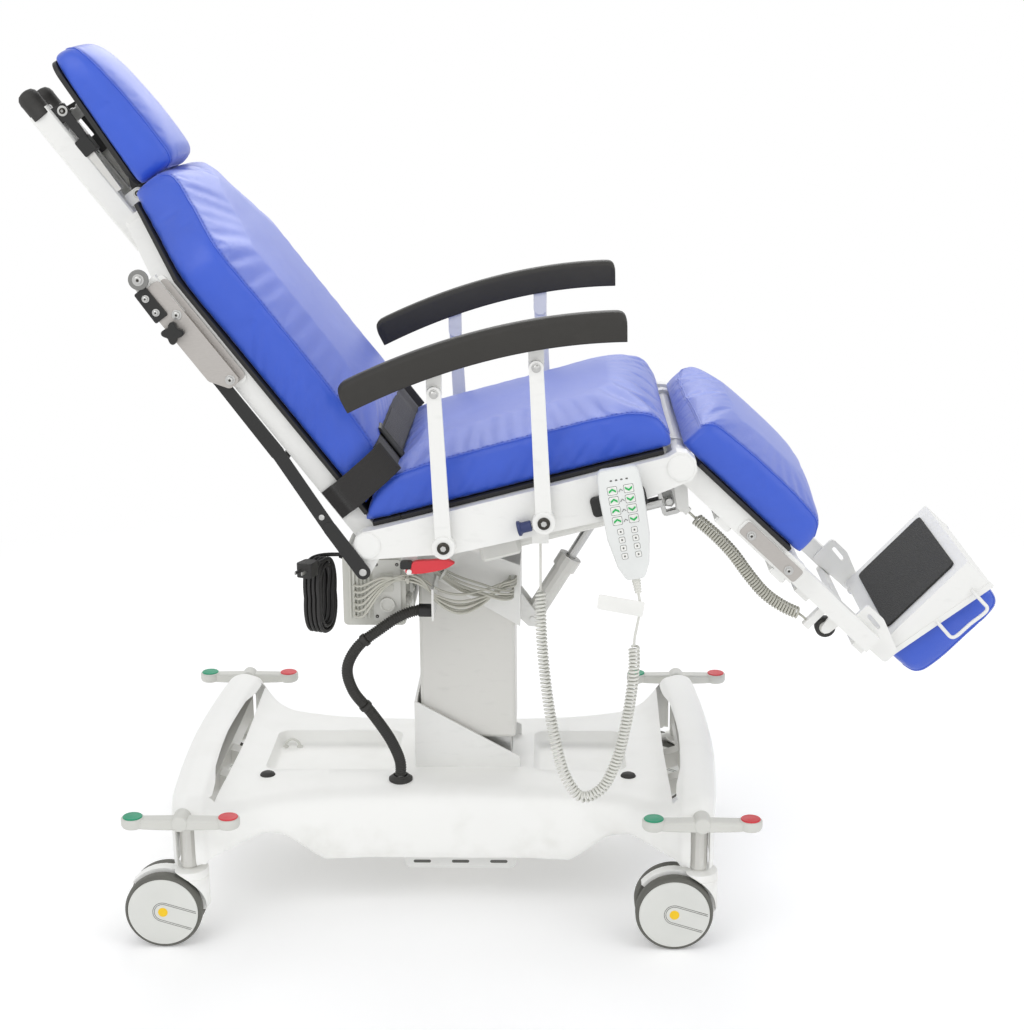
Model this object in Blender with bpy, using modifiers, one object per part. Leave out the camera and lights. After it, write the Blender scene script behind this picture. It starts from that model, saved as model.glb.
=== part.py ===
"""Powered procedure chair on a wheeled base, with a lifting column, a tilting seat and a folding leg rest.

Metres, +Z up. +X points to the foot end, +Y to the sitter's left, the origin is on the floor under
the middle of the chair. The chair stands half reclined, as it is used for an eye procedure.
"""
import math

import bmesh
import bpy
from mathutils import Matrix, Vector

# Driving dimensions
BACK_PIVOT = (-0.219, 0.667)      # x, z of the hinge between seat and back
KNEE_PIVOT = (0.262, 0.790)       # x, z of the hinge between seat and leg rest
TILT_PIVOT = (-0.100, 0.600)      # x, z of the hinge between column head and seat
BACK_SLOPE = math.radians(127.5)  # the back's direction from +X
LEG_SLOPE = math.radians(-43.5)   # the leg rest's direction from +X
SEAT_HALF = 0.272                 # half width of the seat cushion
RAIL_OUT = SEAT_HALF + 0.018      # outer face of the seat's side rails
RAIL_IN = RAIL_OUT - 0.028        # inner face of the seat's side rails
INNER_OUT = RAIL_IN - 0.012       # outer face of the back's and leg rest's rails
INNER_IN = INNER_OUT - 0.025      # inner face of the back's and leg rest's rails
PAD_HALF = INNER_OUT + 0.0105     # half width of the back and leg cushions
FOOT_HALF = INNER_IN - 0.047      # half width of the foot plate
ARM_Y = RAIL_OUT + 0.015          # middle plane of an armrest pad
SET_Y = RAIL_OUT + 0.030          # middle plane of the handset
BASE_X = -0.110                   # middle of the base along x
BASE_HALF = 0.412                 # castor stem from the middle of the base along x
STEM_Y = 0.290                    # castor stem from the middle plane
PEDAL_Y = STEM_Y + 0.049          # middle of a brake pedal from the middle plane
DECK_Z = 0.213                    # top of the base cover's deck
PEDAL_Z = 0.228                   # axis of the brake shafts
WHEEL_R = 0.0625
WHEEL_SIDES = 16
AXLE_Z = WHEEL_R
TRAIL = 0.040                     # castor axle behind its stem
COLUMN_X = -0.078                 # middle of the lifting column
SLEEVE = (0.081, 0.066)           # half sizes of the column's moving sleeve
WALL = 0.008
POST_LEN = 0.240                  # armrest post between its pivots
GAP = 0.0003                      # between touching pieces
PLAY = 0.0006                     # between sliding pieces
SIDES = ((-1, "right"), (1, "left"))

WHITE = (0.86, 0.86, 0.84)
GREY = (0.60, 0.60, 0.59)
PALE = (0.72, 0.72, 0.68)
BLACK = (0.03, 0.03, 0.03)
CHARCOAL = (0.05, 0.05, 0.045)
BLUE = (0.045, 0.09, 0.50)
SILVER = (0.55, 0.55, 0.55)
RED = (0.70, 0.04, 0.05)
NAVY = (0.03, 0.04, 0.13)

for old in list(bpy.data.objects):
    bpy.data.objects.remove(old, do_unlink=True)

parts = bpy.data.collections.new("ophthalmology_procedure_chair")
cutters = bpy.data.collections.new("cutters")
bpy.context.scene.collection.children.link(parts)
bpy.context.scene.collection.children.link(cutters)
finishes = {}


def finish(colour, rough, metal):
    """A Principled material, shared by pieces of the same look."""
    key = (colour, rough, metal)
    if key not in finishes:
        mat = bpy.data.materials.new("finish_%d" % len(finishes))
        mat.use_nodes = True
        shader = mat.node_tree.nodes["Principled BSDF"]
        shader.inputs["Base Color"].default_value = (*colour, 1.0)
        shader.inputs["Roughness"].default_value = rough
        shader.inputs["Metallic"].default_value = metal
        finishes[key] = mat
    return finishes[key]


def guide(mesh):
    """A helper object in the cutters' collection, at the world's origin."""
    obj = bpy.data.objects.new("guide", mesh)
    cutters.objects.link(obj)
    obj.hide_render = True
    obj.display_type = "WIRE"
    return obj


def from_bmesh(bm):
    bmesh.ops.recalc_face_normals(bm, faces=bm.faces)
    mesh = bpy.data.meshes.new("shape")
    bm.to_mesh(mesh)
    bm.free()
    return guide(mesh)


def baked(obj):
    """The evaluated mesh of a curve or a piece with modifiers, welded, as a mesh guide."""
    bpy.context.view_layer.update()
    seen = obj.evaluated_get(bpy.context.evaluated_depsgraph_get())
    mesh = bpy.data.meshes.new_from_object(seen)
    mesh.transform(obj.matrix_world)
    bm = bmesh.new()
    bm.from_mesh(mesh)
    bmesh.ops.remove_doubles(bm, verts=bm.verts, dist=0.00001)
    bpy.data.objects.remove(obj, do_unlink=True)
    bpy.data.meshes.remove(mesh)
    return from_bmesh(bm)


def rounded_edges(obj, width, steps=2, angle=40.0):
    """Round the sharp edges of a mesh guide."""
    bevel = obj.modifiers.new("round", "BEVEL")
    bevel.width = width
    bevel.segments = steps
    bevel.limit_method = "ANGLE"
    bevel.angle_limit = math.radians(angle)
    return baked(obj)


def box(x, y, z, edge=0.0, steps=2):
    """A block between pairs of coordinates, with rounded edges if asked."""
    bm = bmesh.new()
    bmesh.ops.create_cube(bm, size=1.0)
    bmesh.ops.scale(bm, verts=bm.verts, vec=(x[1] - x[0], y[1] - y[0], z[1] - z[0]))
    bmesh.ops.translate(bm, verts=bm.verts, vec=((x[0] + x[1]) / 2, (y[0] + y[1]) / 2, (z[0] + z[1]) / 2))
    obj = from_bmesh(bm)
    if edge:
        obj = rounded_edges(obj, edge, steps)
    return obj


def beam(start, end, width, height, up=(0, 0, 1)):
    """A rectangular bar between two points; height is measured towards up, width across it."""
    start, end = Vector(start), Vector(end)
    along = (end - start).normalized()
    across = along.cross(Vector(up)).normalized()
    rise = across.cross(along)
    bm = bmesh.new()
    bmesh.ops.create_cube(bm, size=1.0)
    turn = Matrix((along * (end - start).length, across * width, rise * height)).transposed().to_4x4()
    bmesh.ops.transform(bm, verts=bm.verts, matrix=Matrix.Translation((start + end) / 2) @ turn)
    return from_bmesh(bm)


def rod(start, end, radius, sides=10, tip=None):
    """A round bar, or a cone with another radius at its end."""
    start, end = Vector(start), Vector(end)
    bm = bmesh.new()
    length = (end - start).length
    bmesh.ops.create_cone(bm, cap_ends=True, segments=sides, radius1=radius,
                          radius2=radius if tip is None else tip, depth=length)
    turn = Vector((0, 0, 1)).rotation_difference(end - start).to_matrix().to_4x4()
    bmesh.ops.transform(bm, verts=bm.verts, matrix=Matrix.Translation((start + end) / 2) @ turn)
    return from_bmesh(bm)


def across(point, y0, y1, radius, sides=10):
    """A round bar along y at a point of the side view."""
    return rod((point[0], y0, point[1]), (point[0], y1, point[1]), radius, sides)


def bore(radius):
    """Radius of a ten-sided hole that a ten-sided pin of this radius turns in."""
    return radius / math.cos(math.pi / 10) + GAP


def plate(outline, low, high, axis="Y"):
    """A flat outline with a thickness: in the side view between two y, or in plan between two z."""
    curve = bpy.data.curves.new("outline", "CURVE")
    curve.dimensions = "2D"
    curve.fill_mode = "BOTH"
    curve.extrude = (high - low) / 2
    spline = curve.splines.new("POLY")
    spline.points.add(len(outline) - 1)
    for point, (u, v) in zip(spline.points, outline):
        point.co = (u, v, 0.0, 1.0)
    spline.use_cyclic_u = True
    obj = bpy.data.objects.new("outline", curve)
    cutters.objects.link(obj)
    if axis == "Y":
        obj.rotation_euler = (math.pi / 2, 0, 0)
        obj.location = (0, (low + high) / 2, 0)
    else:
        obj.location = (0, 0, (low + high) / 2)
    return baked(obj)


def slab(outline, side, inner, outer):
    """A flat piece of the side view on one side of the chair, between two distances from its middle."""
    low, high = sorted((side * inner, side * outer))
    return plate(outline, low, high)


def arc(centre, radius, start, end, count):
    """Points on a circle, angles in degrees."""
    steps = [math.radians(start + (end - start) * i / (count - 1)) for i in range(count)]
    return [(centre[0] + radius * math.cos(a), centre[1] + radius * math.sin(a)) for a in steps]


def link(p, q, rp, rq, count=4):
    """Outline of a bar with round ends of two radii."""
    turn = math.atan2(q[1] - p[1], q[0] - p[0])
    lean = math.acos((rp - rq) / math.hypot(q[0] - p[0], q[1] - p[1]))
    a0, a1 = math.degrees(turn + lean), math.degrees(turn + 2 * math.pi - lean)
    return arc(p, rp, a0, a1, count) + arc(q, rq, a1 - 360, a0, count)


def rounded(corners, radius, count=4):
    """An outline with each of its corners rounded."""
    out = []
    for i, corner in enumerate(corners):
        here = Vector(corner)
        before = (Vector(corners[i - 1]) - here).normalized()
        after = (Vector(corners[(i + 1) % len(corners)]) - here).normalized()
        half = before.angle(after) / 2
        reach = radius / math.tan(half)
        centre = here + (before + after).normalized() * radius / math.sin(half)
        first, last = here + before * reach - centre, here + after * reach - centre
        spread = first.angle_signed(last)
        for k in range(count):
            turn = Matrix.Rotation(-spread * k / (count - 1), 2)
            out.append(tuple(centre + turn @ first))
    return out


def loft(rings):
    """A closed skin over unlike sections that all have the same number of points."""
    bm = bmesh.new()
    rows = [[bm.verts.new(p) for p in ring] for ring in rings]
    count = len(rows[0])
    for low, high in zip(rows, rows[1:]):
        for i in range(count):
            k = (i + 1) % count
            bm.faces.new((low[i], low[k], high[k], high[i]))
    bm.faces.new(rows[0])
    bm.faces.new(list(reversed(rows[-1])))
    return from_bmesh(bm)


def turned(profile, centre, sides):
    """A turned solid about a line along y: the profile holds (radius, y) from one end to the other."""
    mesh = bpy.data.meshes.new("profile")
    mesh.from_pydata([(r, 0.0, -y) for r, y in profile], [(i, i + 1) for i in range(len(profile) - 1)],
                     [])
    obj = bpy.data.objects.new("profile", mesh)
    cutters.objects.link(obj)
    screw = obj.modifiers.new("turn", "SCREW")
    screw.steps = sides
    screw.render_steps = sides
    screw.axis = "Z"
    screw.use_merge_vertices = True
    screw.merge_threshold = 0.00001
    obj.rotation_euler = (math.pi / 2, 0, 0)
    obj.location = (centre[0], centre[1], centre[2])
    return baked(obj)


def smooth(points, count):
    """Points at even steps of a smooth curve through a route's own points."""
    route = [Vector(p) for p in points]
    route = [2 * route[0] - route[1]] + route + [2 * route[-1] - route[-2]]
    fine = []
    for i in range(1, len(route) - 2):
        a, b, c, d = route[i - 1:i + 3]
        for k in range(24):
            t = k / 24
            fine.append(0.5 * (2 * b + (c - a) * t + (2 * a - 5 * b + 4 * c - d) * t * t
                               + (3 * b - a - 3 * c + d) * t ** 3))
    fine.append(route[-2])
    run = [0.0]
    for p, q in zip(fine, fine[1:]):
        run.append(run[-1] + (q - p).length)
    out, k = [], 0
    for i in range(count):
        want = run[-1] * i / (count - 1)
        while k < len(run) - 2 and run[k + 1] < want:
            k += 1
        share = (want - run[k]) / max(run[k + 1] - run[k], 1e-9)
        out.append(fine[k].lerp(fine[k + 1], min(share, 1.0)))
    return out


def tube(points, radius, resolution, radii=None):
    """A round tube along points, closed at both ends."""
    curve = bpy.data.curves.new("route", "CURVE")
    curve.dimensions = "3D"
    curve.bevel_depth = radius
    curve.bevel_resolution = resolution
    curve.use_fill_caps = True
    spline = curve.splines.new("POLY")
    spline.points.add(len(points) - 1)
    for i, p in enumerate(points):
        spline.points[i].co = (*p, 1.0)
        spline.points[i].radius = radii[i] if radii else 1.0
    obj = bpy.data.objects.new("route", curve)
    cutters.objects.link(obj)
    return baked(obj)


def least_gap(name, points, diameter):
    """Print the least distance between neighbouring turns of a wound tube, less its diameter."""
    run = [0.0]
    for p, q in zip(points, points[1:]):
        run.append(run[-1] + (q - p).length)
    least = 1.0
    for i in range(len(points) - 1):
        for k in range(i + 2, len(points) - 1):
            if run[k] - run[i + 1] < 2.2 * diameter:
                continue
            if (points[i] - points[k]).length > 0.05:
                continue
            for share in (0.0, 0.25, 0.5, 0.75):
                p = points[i].lerp(points[i + 1], share)
                line = points[k + 1] - points[k]
                t = max(0.0, min(1.0, (p - points[k]).dot(line) / line.length_squared))
                least = min(least, (p - points[k] - line * t).length)
    print("%s: least gap between turns %.2f mm" % (name, (least - diameter) * 1000))


def curls(route, turns, radius, lead, per_turn=8):
    """Centre line of a curly cord: straight leads at both ends, a helix about the route between them."""
    steps = turns * per_turn
    axis = smooth(route, steps + 1)
    normal = (axis[1] - axis[0]).orthogonal().normalized()
    out = []
    for i, p in enumerate(axis):
        along = (axis[min(i + 1, steps)] - axis[max(i - 1, 0)]).normalized()
        normal = (normal - along * normal.dot(along)).normalized()
        grow = min(1.0, i / per_turn, (steps - i) / per_turn)
        angle = 2 * math.pi * i / per_turn
        out.append(p + (normal * math.cos(angle) + along.cross(normal) * math.sin(angle)) * radius * grow)
    first = (axis[0] - axis[1]).normalized()
    last = (axis[-1] - axis[-2]).normalized()
    return [out[0] + first * lead] + out + [out[-1] + last * lead]


def piece(name, body, look, origin, joined=(), cut=()):
    """One named part: a guide becomes the part, other guides are joined to it or cut from it."""
    cutters.objects.unlink(body)
    parts.objects.link(body)
    body.hide_render = False
    body.display_type = "TEXTURED"
    body.name = name
    body.data.name = name
    for kind, others in (("UNION", joined), ("DIFFERENCE", cut)):
        for other in others:
            step = body.modifiers.new(kind.lower(), "BOOLEAN")
            step.operation = kind
            step.solver = "EXACT"
            step.object = other
            other.name = name + "_" + kind.lower()
    body.data.materials.clear()
    body.data.materials.append(finish(*look))
    body.data.transform(Matrix.Translation(-Vector(origin)))
    body.location = origin
    body.data.shade_smooth()
    body.data.set_sharp_from_angle(angle=math.radians(35))
    return body


def tilted(origin, angle):
    """Map of a tilted side-view frame: (along, above) to (x, z)."""
    c, s = math.cos(angle), math.sin(angle)

    def at(along, above):
        return (origin[0] + along * c - above * s, origin[1] + along * s + above * c)
    return at


SEAT_SLOPE = math.atan2(KNEE_PIVOT[1] - BACK_PIVOT[1], KNEE_PIVOT[0] - BACK_PIVOT[0])
SEAT_LEN = math.hypot(KNEE_PIVOT[0] - BACK_PIVOT[0], KNEE_PIVOT[1] - BACK_PIVOT[1])
on_seat = tilted(BACK_PIVOT, SEAT_SLOPE)
on_leg = tilted(KNEE_PIVOT, LEG_SLOPE)


def on_back(along, above):
    """The back's frame: along runs up the back, above points to the sitter."""
    return tilted(BACK_PIVOT, BACK_SLOPE)(along, -above)


def three(point, y):
    return (point[0], y, point[1])


def seat_edge(s):
    """Lower edge of the seat's rails at a distance from the back's hinge."""
    marks = ((0.0, -0.023), (0.13, -0.046), (0.365, -0.0515), (0.435, -0.034), (0.55, -0.026))
    for (s0, h0), (s1, h1) in zip(marks, marks[1:]):
        if s <= s1:
            return h0 + (h1 - h0) * (s - s0) / (s1 - s0)
    return marks[-1][1]


# Base

def base_rings(inset, lower):
    """Sections across the base cover from end to end, shrunk by the wall for its hollow."""
    reach = BASE_HALF
    wide = STEM_Y
    half = ((reach + 0.023, wide + 0.006, DECK_Z + 0.019, 0.140, 1.0),
            (reach + 0.017, wide + 0.020, DECK_Z + 0.033, 0.134, 1.0),
            (reach, wide + 0.026, DECK_Z + 0.039, 0.132, 1.0),
            (reach - 0.016, wide + 0.021, DECK_Z + 0.035, 0.134, 1.0),
            (reach - 0.038, wide + 0.004, DECK_Z + 0.017, 0.146, 0.7),
            (reach - 0.076, wide - 0.037, DECK_Z, 0.163, 0.3),
            (reach - 0.136, wide - 0.077, DECK_Z, 0.160, 0.0),
            (reach - 0.206, wide - 0.096, DECK_Z, 0.112, 0.0),
            (0.0, wide - 0.111, DECK_Z, 0.108, 0.0))
    stations = [(-u, w, top, low, -bow) for u, w, top, low, bow in half]
    stations += [(u, w, top, low, bow) for u, w, top, low, bow in reversed(half[:-1])]
    rings = []
    for u, w, top, low, bow in stations:
        x = BASE_X + u * (1 - inset / (reach + 0.023))
        w = w - inset
        top = min(top - inset, DECK_Z - lower) if inset and abs(u) < reach - 0.072 else top - inset
        low = low - 0.05 if inset else low
        tall = top - low
        side = [(w - 0.006, low), (w, low + 0.14 * tall), (w, top - min(0.036, 0.55 * tall)),
                (w - 0.007, top - min(0.015, 0.25 * tall)), (w - 0.026, top - 0.003), (w - 0.055, top)]
        if inset:
            side = [(w, low), (w, top - 0.030), (w - 0.028, top)]
        ring = [(-y, z) for y, z in side] + [(0.0, top)] + list(reversed(side))
        rings.append([(x + 0.018 * bow * (1 - (y / w) ** 2), y, z) for y, z in ring])
    return rings


TRAYS = ((BASE_X - BASE_HALF + 0.097, COLUMN_X - 0.127), (COLUMN_X + 0.113, BASE_X + BASE_HALF - 0.112))
POST = (SLEEVE[0] - WALL - PLAY, SLEEVE[1] - WALL - PLAY)
cover = loft(base_rings(0.0, 0.0))
cuts = [loft(base_rings(0.006, 0.038))]
cuts += [box(span, (-0.088, 0.088), (DECK_Z - 0.024, DECK_Z + 0.05), 0.010, 1) for span in TRAYS]
cuts.append(box((COLUMN_X - POST[0] - PLAY, COLUMN_X + POST[0] + PLAY), (-POST[1] - PLAY, POST[1] + PLAY),
                (0.12, 0.30)))
for end in (-1, 1):
    x = BASE_X + end * BASE_HALF
    cuts.append(across((x, PEDAL_Z), -STEM_Y - 0.05, STEM_Y + 0.05, bore(0.006)))
    for side, _ in SIDES:
        cuts.append(box((x - 0.0155, x + 0.0155), sorted((side * (STEM_Y - 0.020),
                                                          side * (STEM_Y + 0.05))), (0.10, 0.205)))
HOSE_FOOT = (-0.190, -0.132)
grommet = rod((*HOSE_FOOT, DECK_Z - 0.004), (*HOSE_FOOT, DECK_Z + 0.009), 0.0175, 10, 0.0150)
piece("base_cover", cover, (WHITE, 0.45, 0.0), (BASE_X, 0, 0), [grommet], cuts)

beams = (BASE_X - BASE_HALF + 0.112, BASE_X + BASE_HALF - 0.112)
frame = box(beams, (-0.074, -0.040), (0.124, 0.160))
extra = [box(beams, (0.040, 0.074), (0.124, 0.160)),
         box((COLUMN_X - 0.090, COLUMN_X + 0.090), (-0.10, 0.10), (0.140, 0.165))]
for end in (-1, 1):
    x = BASE_X + end * BASE_HALF
    near = BASE_X + end * (BASE_HALF - 0.122)
    extra.append(box((x - 0.013, x + 0.013), (-STEM_Y + 0.005, STEM_Y - 0.005), (0.168, 0.204)))
    for y in (-0.057, 0.057):
        extra.append(beam((near, y, 0.142), (x, y, 0.186), 0.030, 0.026))
    for side, _ in SIDES:
        extra.append(rod((x, side * STEM_Y, 0.131), (x, side * STEM_Y, 0.206), 0.0135, 12))
extra.append(box((COLUMN_X - 0.090, COLUMN_X + 0.066), (-0.150, 0.150), (0.080, 0.128)))
cuts = []
for end in (-1, 1):
    for side, _ in SIDES:
        x = BASE_X + end * BASE_HALF
        cuts.append(rod((x, side * STEM_Y, 0.10), (x, side * STEM_Y, 0.199), bore(0.0085)))
piece("base_frame", frame, (PALE, 0.5, 0.3), (BASE_X, 0, 0), extra, cuts)

for end, where in ((-1, "rear"), (1, "front")):
    x = BASE_X + end * BASE_HALF
    shaft = across((x, PEDAL_Z), -PEDAL_Y - 0.006, PEDAL_Y + 0.006, 0.006)
    arms = []
    for side, _ in SIDES:
        y = side * PEDAL_Y
        flat = arc((x + 0.076, y), 0.0185, -150, 150, 8) + arc((x - 0.076, y), 0.0185, 30, 330, 8)
        arms.append(plate(flat, PEDAL_Z - 0.0075, PEDAL_Z + 0.0070, "Z"))
        arms.append(across((x, PEDAL_Z), side * (PEDAL_Y - 0.0205), side * (PEDAL_Y + 0.0145), 0.0135,
                           10))
    piece(where + "_brake_bar", shaft, (PALE, 0.45, 0.0), (x, 0, PEDAL_Z), arms)

for end, where in ((-1, "rear"), (1, "front")):
    for side, hand in SIDES:
        x, y = BASE_X + end * BASE_HALF, side * STEM_Y
        axle = (x - TRAIL, AXLE_Z)
        housing = rod((x, y, 0.058), (x, y, 0.128), 0.031, 12)
        tops = [rod((x, y, 0.120), (x, y, 0.193), 0.0085),
                plate(link(axle, (x - 0.012, 0.098), 0.017, 0.024), y - 0.010, y + 0.010)]
        wells = [across(axle, y + k * 0.0106, y + k * 0.040, WHEEL_R + 0.0055, 12) for k in (-1, 1)]
        wells.append(across(axle, y - 0.03, y + 0.03, bore(0.007)))
        piece("castor_fork_%s_%s" % (where, hand), housing, (WHITE, 0.4, 0.0), (x, y, 0.128), tops, wells)
        half = ((0.0, 0.0355), (0.0520, 0.0355), (WHEEL_R, 0.0290), (WHEEL_R, 0.0170), (0.0550, 0.0112),
                (0.0070, 0.0112))
        profile = [(r, -w) for r, w in half] + [(r, w) for r, w in reversed(half)]
        wheels = turned(profile, (axle[0], y, axle[1]), WHEEL_SIDES)
        piece("castor_wheels_%s_%s" % (where, hand), wheels, (GREY, 0.6, 0.0), (axle[0], y, axle[1]))

# Column

LIFT = 0.22
SLEEVE_Z = (0.262, 0.560)
X0, X1 = COLUMN_X - SLEEVE[0], COLUMN_X + SLEEVE[0]
shroud = [(X0 - 0.006, DECK_Z + GAP), (X1 + 0.007, DECK_Z + GAP), (X1 + 0.007, 0.232),
          (X0 - 0.006, 0.331)]
foot = plate(shroud, -SLEEVE[1] - 0.012, -SLEEVE[1] - 0.008)
piece("column_shroud", foot, (WHITE, 0.45, 0.0), (COLUMN_X, 0, DECK_Z),
      [plate(shroud, SLEEVE[1] + 0.008, SLEEVE[1] + 0.012),
       box((X0 - 0.010, X0 - 0.006 + GAP), (-SLEEVE[1] - 0.012, SLEEVE[1] + 0.012),
           (DECK_Z + GAP, 0.331))])
post = box((COLUMN_X - POST[0], COLUMN_X + POST[0]), (-POST[1], POST[1]), (0.165 + GAP, 0.545))
piece("column_post", post, (SILVER, 0.35, 0.8), (COLUMN_X, 0, 0.165), (),
      [box((COLUMN_X - POST[0] + 0.006, COLUMN_X + POST[0] - 0.006),
           (-POST[1] + 0.006, POST[1] - 0.006), (0.15, 0.56))])
sleeve = box((X0, X1), (-SLEEVE[1], SLEEVE[1]), SLEEVE_Z, 0.006, 2)
piece("column_sleeve", sleeve, (GREY, 0.4, 0.2), (COLUMN_X, 0, SLEEVE_Z[0]), (),
      [box((X0 + WALL, X1 - WALL), (-SLEEVE[1] + WALL, SLEEVE[1] - WALL), (0.2, SLEEVE_Z[1] - WALL))])
jack = rod((COLUMN_X, 0, 0.165 + GAP), (COLUMN_X, 0, 0.500), 0.028)
piece("lift_jack", jack, (SILVER, 0.35, 0.8), (COLUMN_X, 0, 0.165), (),
      [rod((COLUMN_X, 0, 0.28), (COLUMN_X, 0, 0.52), bore(0.016))])
screw_bar = rod((COLUMN_X, 0, 0.290), (COLUMN_X, 0, SLEEVE_Z[1] - WALL - GAP), 0.016)
piece("lift_screw", screw_bar, (SILVER, 0.25, 1.0), (COLUMN_X, 0, 0.290))

TILT_FOOT = (0.032, 0.462)
TILT_TOP = on_seat(0.353, -0.106)
CHEEK = (SLEEVE[1] + 0.0025, SLEEVE[1] + 0.0075)
ear = arc(TILT_PIVOT, 0.021, 25, 155, 5)
cheek = [(X0 - 0.009, 0.572), (X1 + 0.009, 0.465), (X1 + 0.009, 0.572)] + ear + [(X0 - 0.009, 0.592)]
head = slab(cheek, -1, *CHEEK)
adds = [slab(cheek, 1, *CHEEK), box((X0 - 0.009, X1 + 0.009), (-0.072, 0.072),
                                    (SLEEVE_Z[1] + GAP, 0.567)),
        box((X1 + 0.0035, X1 + 0.009), (-0.072, 0.072), (0.470, 0.566)),
        box((X0 - 0.0140, X0 - 0.0088), (-CHEEK[1], CHEEK[1]), (0.490, 0.5920)),
        box((X0 - 0.0140, X0 - 0.004), (-CHEEK[1], CHEEK[1]), (0.5730, 0.5920)),
        across(TILT_PIVOT, -0.092, 0.092, 0.008),
        box((-0.130 + GAP, -0.1260), (-0.177, -CHEEK[1] + 0.001), (0.508, 0.562))]
for side, _ in SIDES:
    lug = [(X1 + 0.005, 0.514), (X1 + 0.005, 0.466)] + arc(TILT_FOOT, 0.0145, -120, 70, 5)
    adds.append(slab(lug, side, 0.0175, 0.0235))
adds.append(across(TILT_FOOT, -0.0275, 0.0275, 0.005))
piece("column_head", head, (WHITE, 0.45, 0.0), three(TILT_PIVOT, 0), adds)

BOX_X = (-0.276, X0 - 0.0140 - GAP)
ctl = box(BOX_X, (-0.150, -0.010), (0.492, 0.612), 0.006, 1)
ribs = [box((BOX_X[0] + 0.012 + 0.018 * i, BOX_X[0] + 0.024 + 0.018 * i), (-0.1535, -0.12),
            (0.512, 0.540))
        for i in range(4)]
LOOM_END = (BOX_X[1], -0.116, 0.586)
gland = rod((BOX_X[1] - 0.006, -0.116, 0.586), (BOX_X[1] + 0.012, -0.116, 0.586), 0.0125, 12)
inlet = rod((BOX_X[0] + 0.006, -0.10475, 0.600), (BOX_X[0] - 0.010, -0.10475, 0.600), 0.0085, 12, 0.0060)
piece("control_box", ctl, (PALE, 0.5, 0.0), (BOX_X[1], -0.08, 0.552), ribs + [gland, inlet])

# Cords on the column

def hank_route(loops, low, high, wide, pitch, layer, middle):
    """Two layers of long loops: in towards the middle, a climb, then out again, drawn in at the waist."""
    out = []
    per = 20
    steps = int(loops * per)
    for i in range(steps + 1):
        turn = i / per
        if turn <= loops / 2 - 0.25:
            depth, height = turn, 0.0
        elif turn >= loops / 2 + 0.25:
            depth, height = loops - turn, 1.0
        else:
            depth = loops / 2 - 0.25
            height = (turn - loops / 2 + 0.25) / 0.5
        half = wide - pitch * depth
        tall = (high - low) / 2 - pitch * depth
        angle = 2 * math.pi * turn
        u, v = -math.sin(angle), math.cos(angle)
        waist = 1.0 - 0.16 * (1 - abs(v)) ** 2
        flat = math.copysign(abs(u) ** 0.75, u)
        out.append(Vector((middle[0] + half * flat * waist, middle[1] + layer * (height - 0.5),
                           (low + high) / 2 + tall * v)))
    return out


CORD_D = 0.0066
strands = hank_route(4, 0.478, 0.600, 0.0325, 0.0090, 0.0095, (-0.3190, -0.100))
first, last = strands[0], strands[-1]
strands = [Vector((BOX_X[0] - 0.0103, first.y, first.z))] + strands
strands += [last + Vector((-0.010, 0, 0)), last + Vector((-0.020, 0, 0))]
least_gap("power_cord", strands, CORD_D)
piece("power_cord", tube(strands, CORD_D / 2, 1), (BLACK, 0.5, 0.0), tuple(strands[0]))

LOOM_TAIL = (0.000, -CHEEK[1] - GAP, 0.530)
loom = smooth([(LOOM_END[0] + 0.030, -0.116, 0.586), (-0.125, -0.118, 0.579), (-0.085, -0.119, 0.557),
               (-0.050, -0.117, 0.545), (-0.020, -0.110, 0.535), (-0.004, -0.099, 0.531),
               (0.000, -0.091, 0.530)], 13)
loom = [Vector((LOOM_END[0] + 0.0123, -0.116, 0.586))] + loom + [Vector(LOOM_TAIL)]
piece("cable_loom", tube(loom, 0.0085, 1), (PALE, 0.55, 0.0), tuple(loom[0]))

HOSE_TOP = (-0.130, -0.163, 0.522)
hose_line = smooth([(*HOSE_FOOT, DECK_Z + 0.030), (-0.203, -0.142, 0.285), (-0.232, -0.158, 0.340),
                    (-0.262, -0.168, 0.385), (-0.270, -0.172, 0.425), (-0.252, -0.173, 0.462),
                    (-0.212, -0.171, 0.494), (-0.182, -0.167, 0.513), (-0.154, -0.163, 0.522)], 41)
hose_line = [Vector((*HOSE_FOOT, DECK_Z + 0.009 + GAP))] + hose_line + [Vector(HOSE_TOP)]
swell = [1.0 if (i // 2) % 2 else 0.86 for i in range(len(hose_line))]
swell[0] = swell[1] = swell[-1] = swell[-2] = 1.0
piece("cable_hose", tube(hose_line, 0.0105, 1, swell), (CHARCOAL, 0.55, 0.0), tuple(hose_line[0]))

# Seat

CROSS_REAR = on_seat(0.105, -0.030)
CROSS_FRONT = on_seat(0.360, -0.030)
BAR_PIN = (-0.226, 0.626)
POST_FOOT = {"front": on_seat(0.2746, -0.0280), "rear": on_seat(0.1155, -0.0280)}
LEG_ROD = -0.076
BACK_ROD = -0.077
ROD_Y = INNER_IN - 0.059
outline = [on_seat(s, h) for s, h in arc((0.0, 0.0), 0.0225, 95, 262, 6)]
outline += [on_seat(s, seat_edge(s)) for s in (0.13, 0.365, 0.435)]
outline += [on_seat(s, h) for s, h in arc((SEAT_LEN, 0.0), 0.026, -100, 90, 6)]
outline += [on_seat(SEAT_LEN - 0.014, 0.0215), on_seat(0.040, 0.0215)]
rails = [slab(outline, side, RAIL_IN, RAIL_OUT) for side, _ in SIDES]
adds = rails[1:]
adds += [across(CROSS_REAR, -RAIL_IN - 0.004, RAIL_IN + 0.004, 0.013),
         across(CROSS_FRONT, -RAIL_IN - 0.004, RAIL_IN + 0.004, 0.013)]
cuts = []
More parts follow.
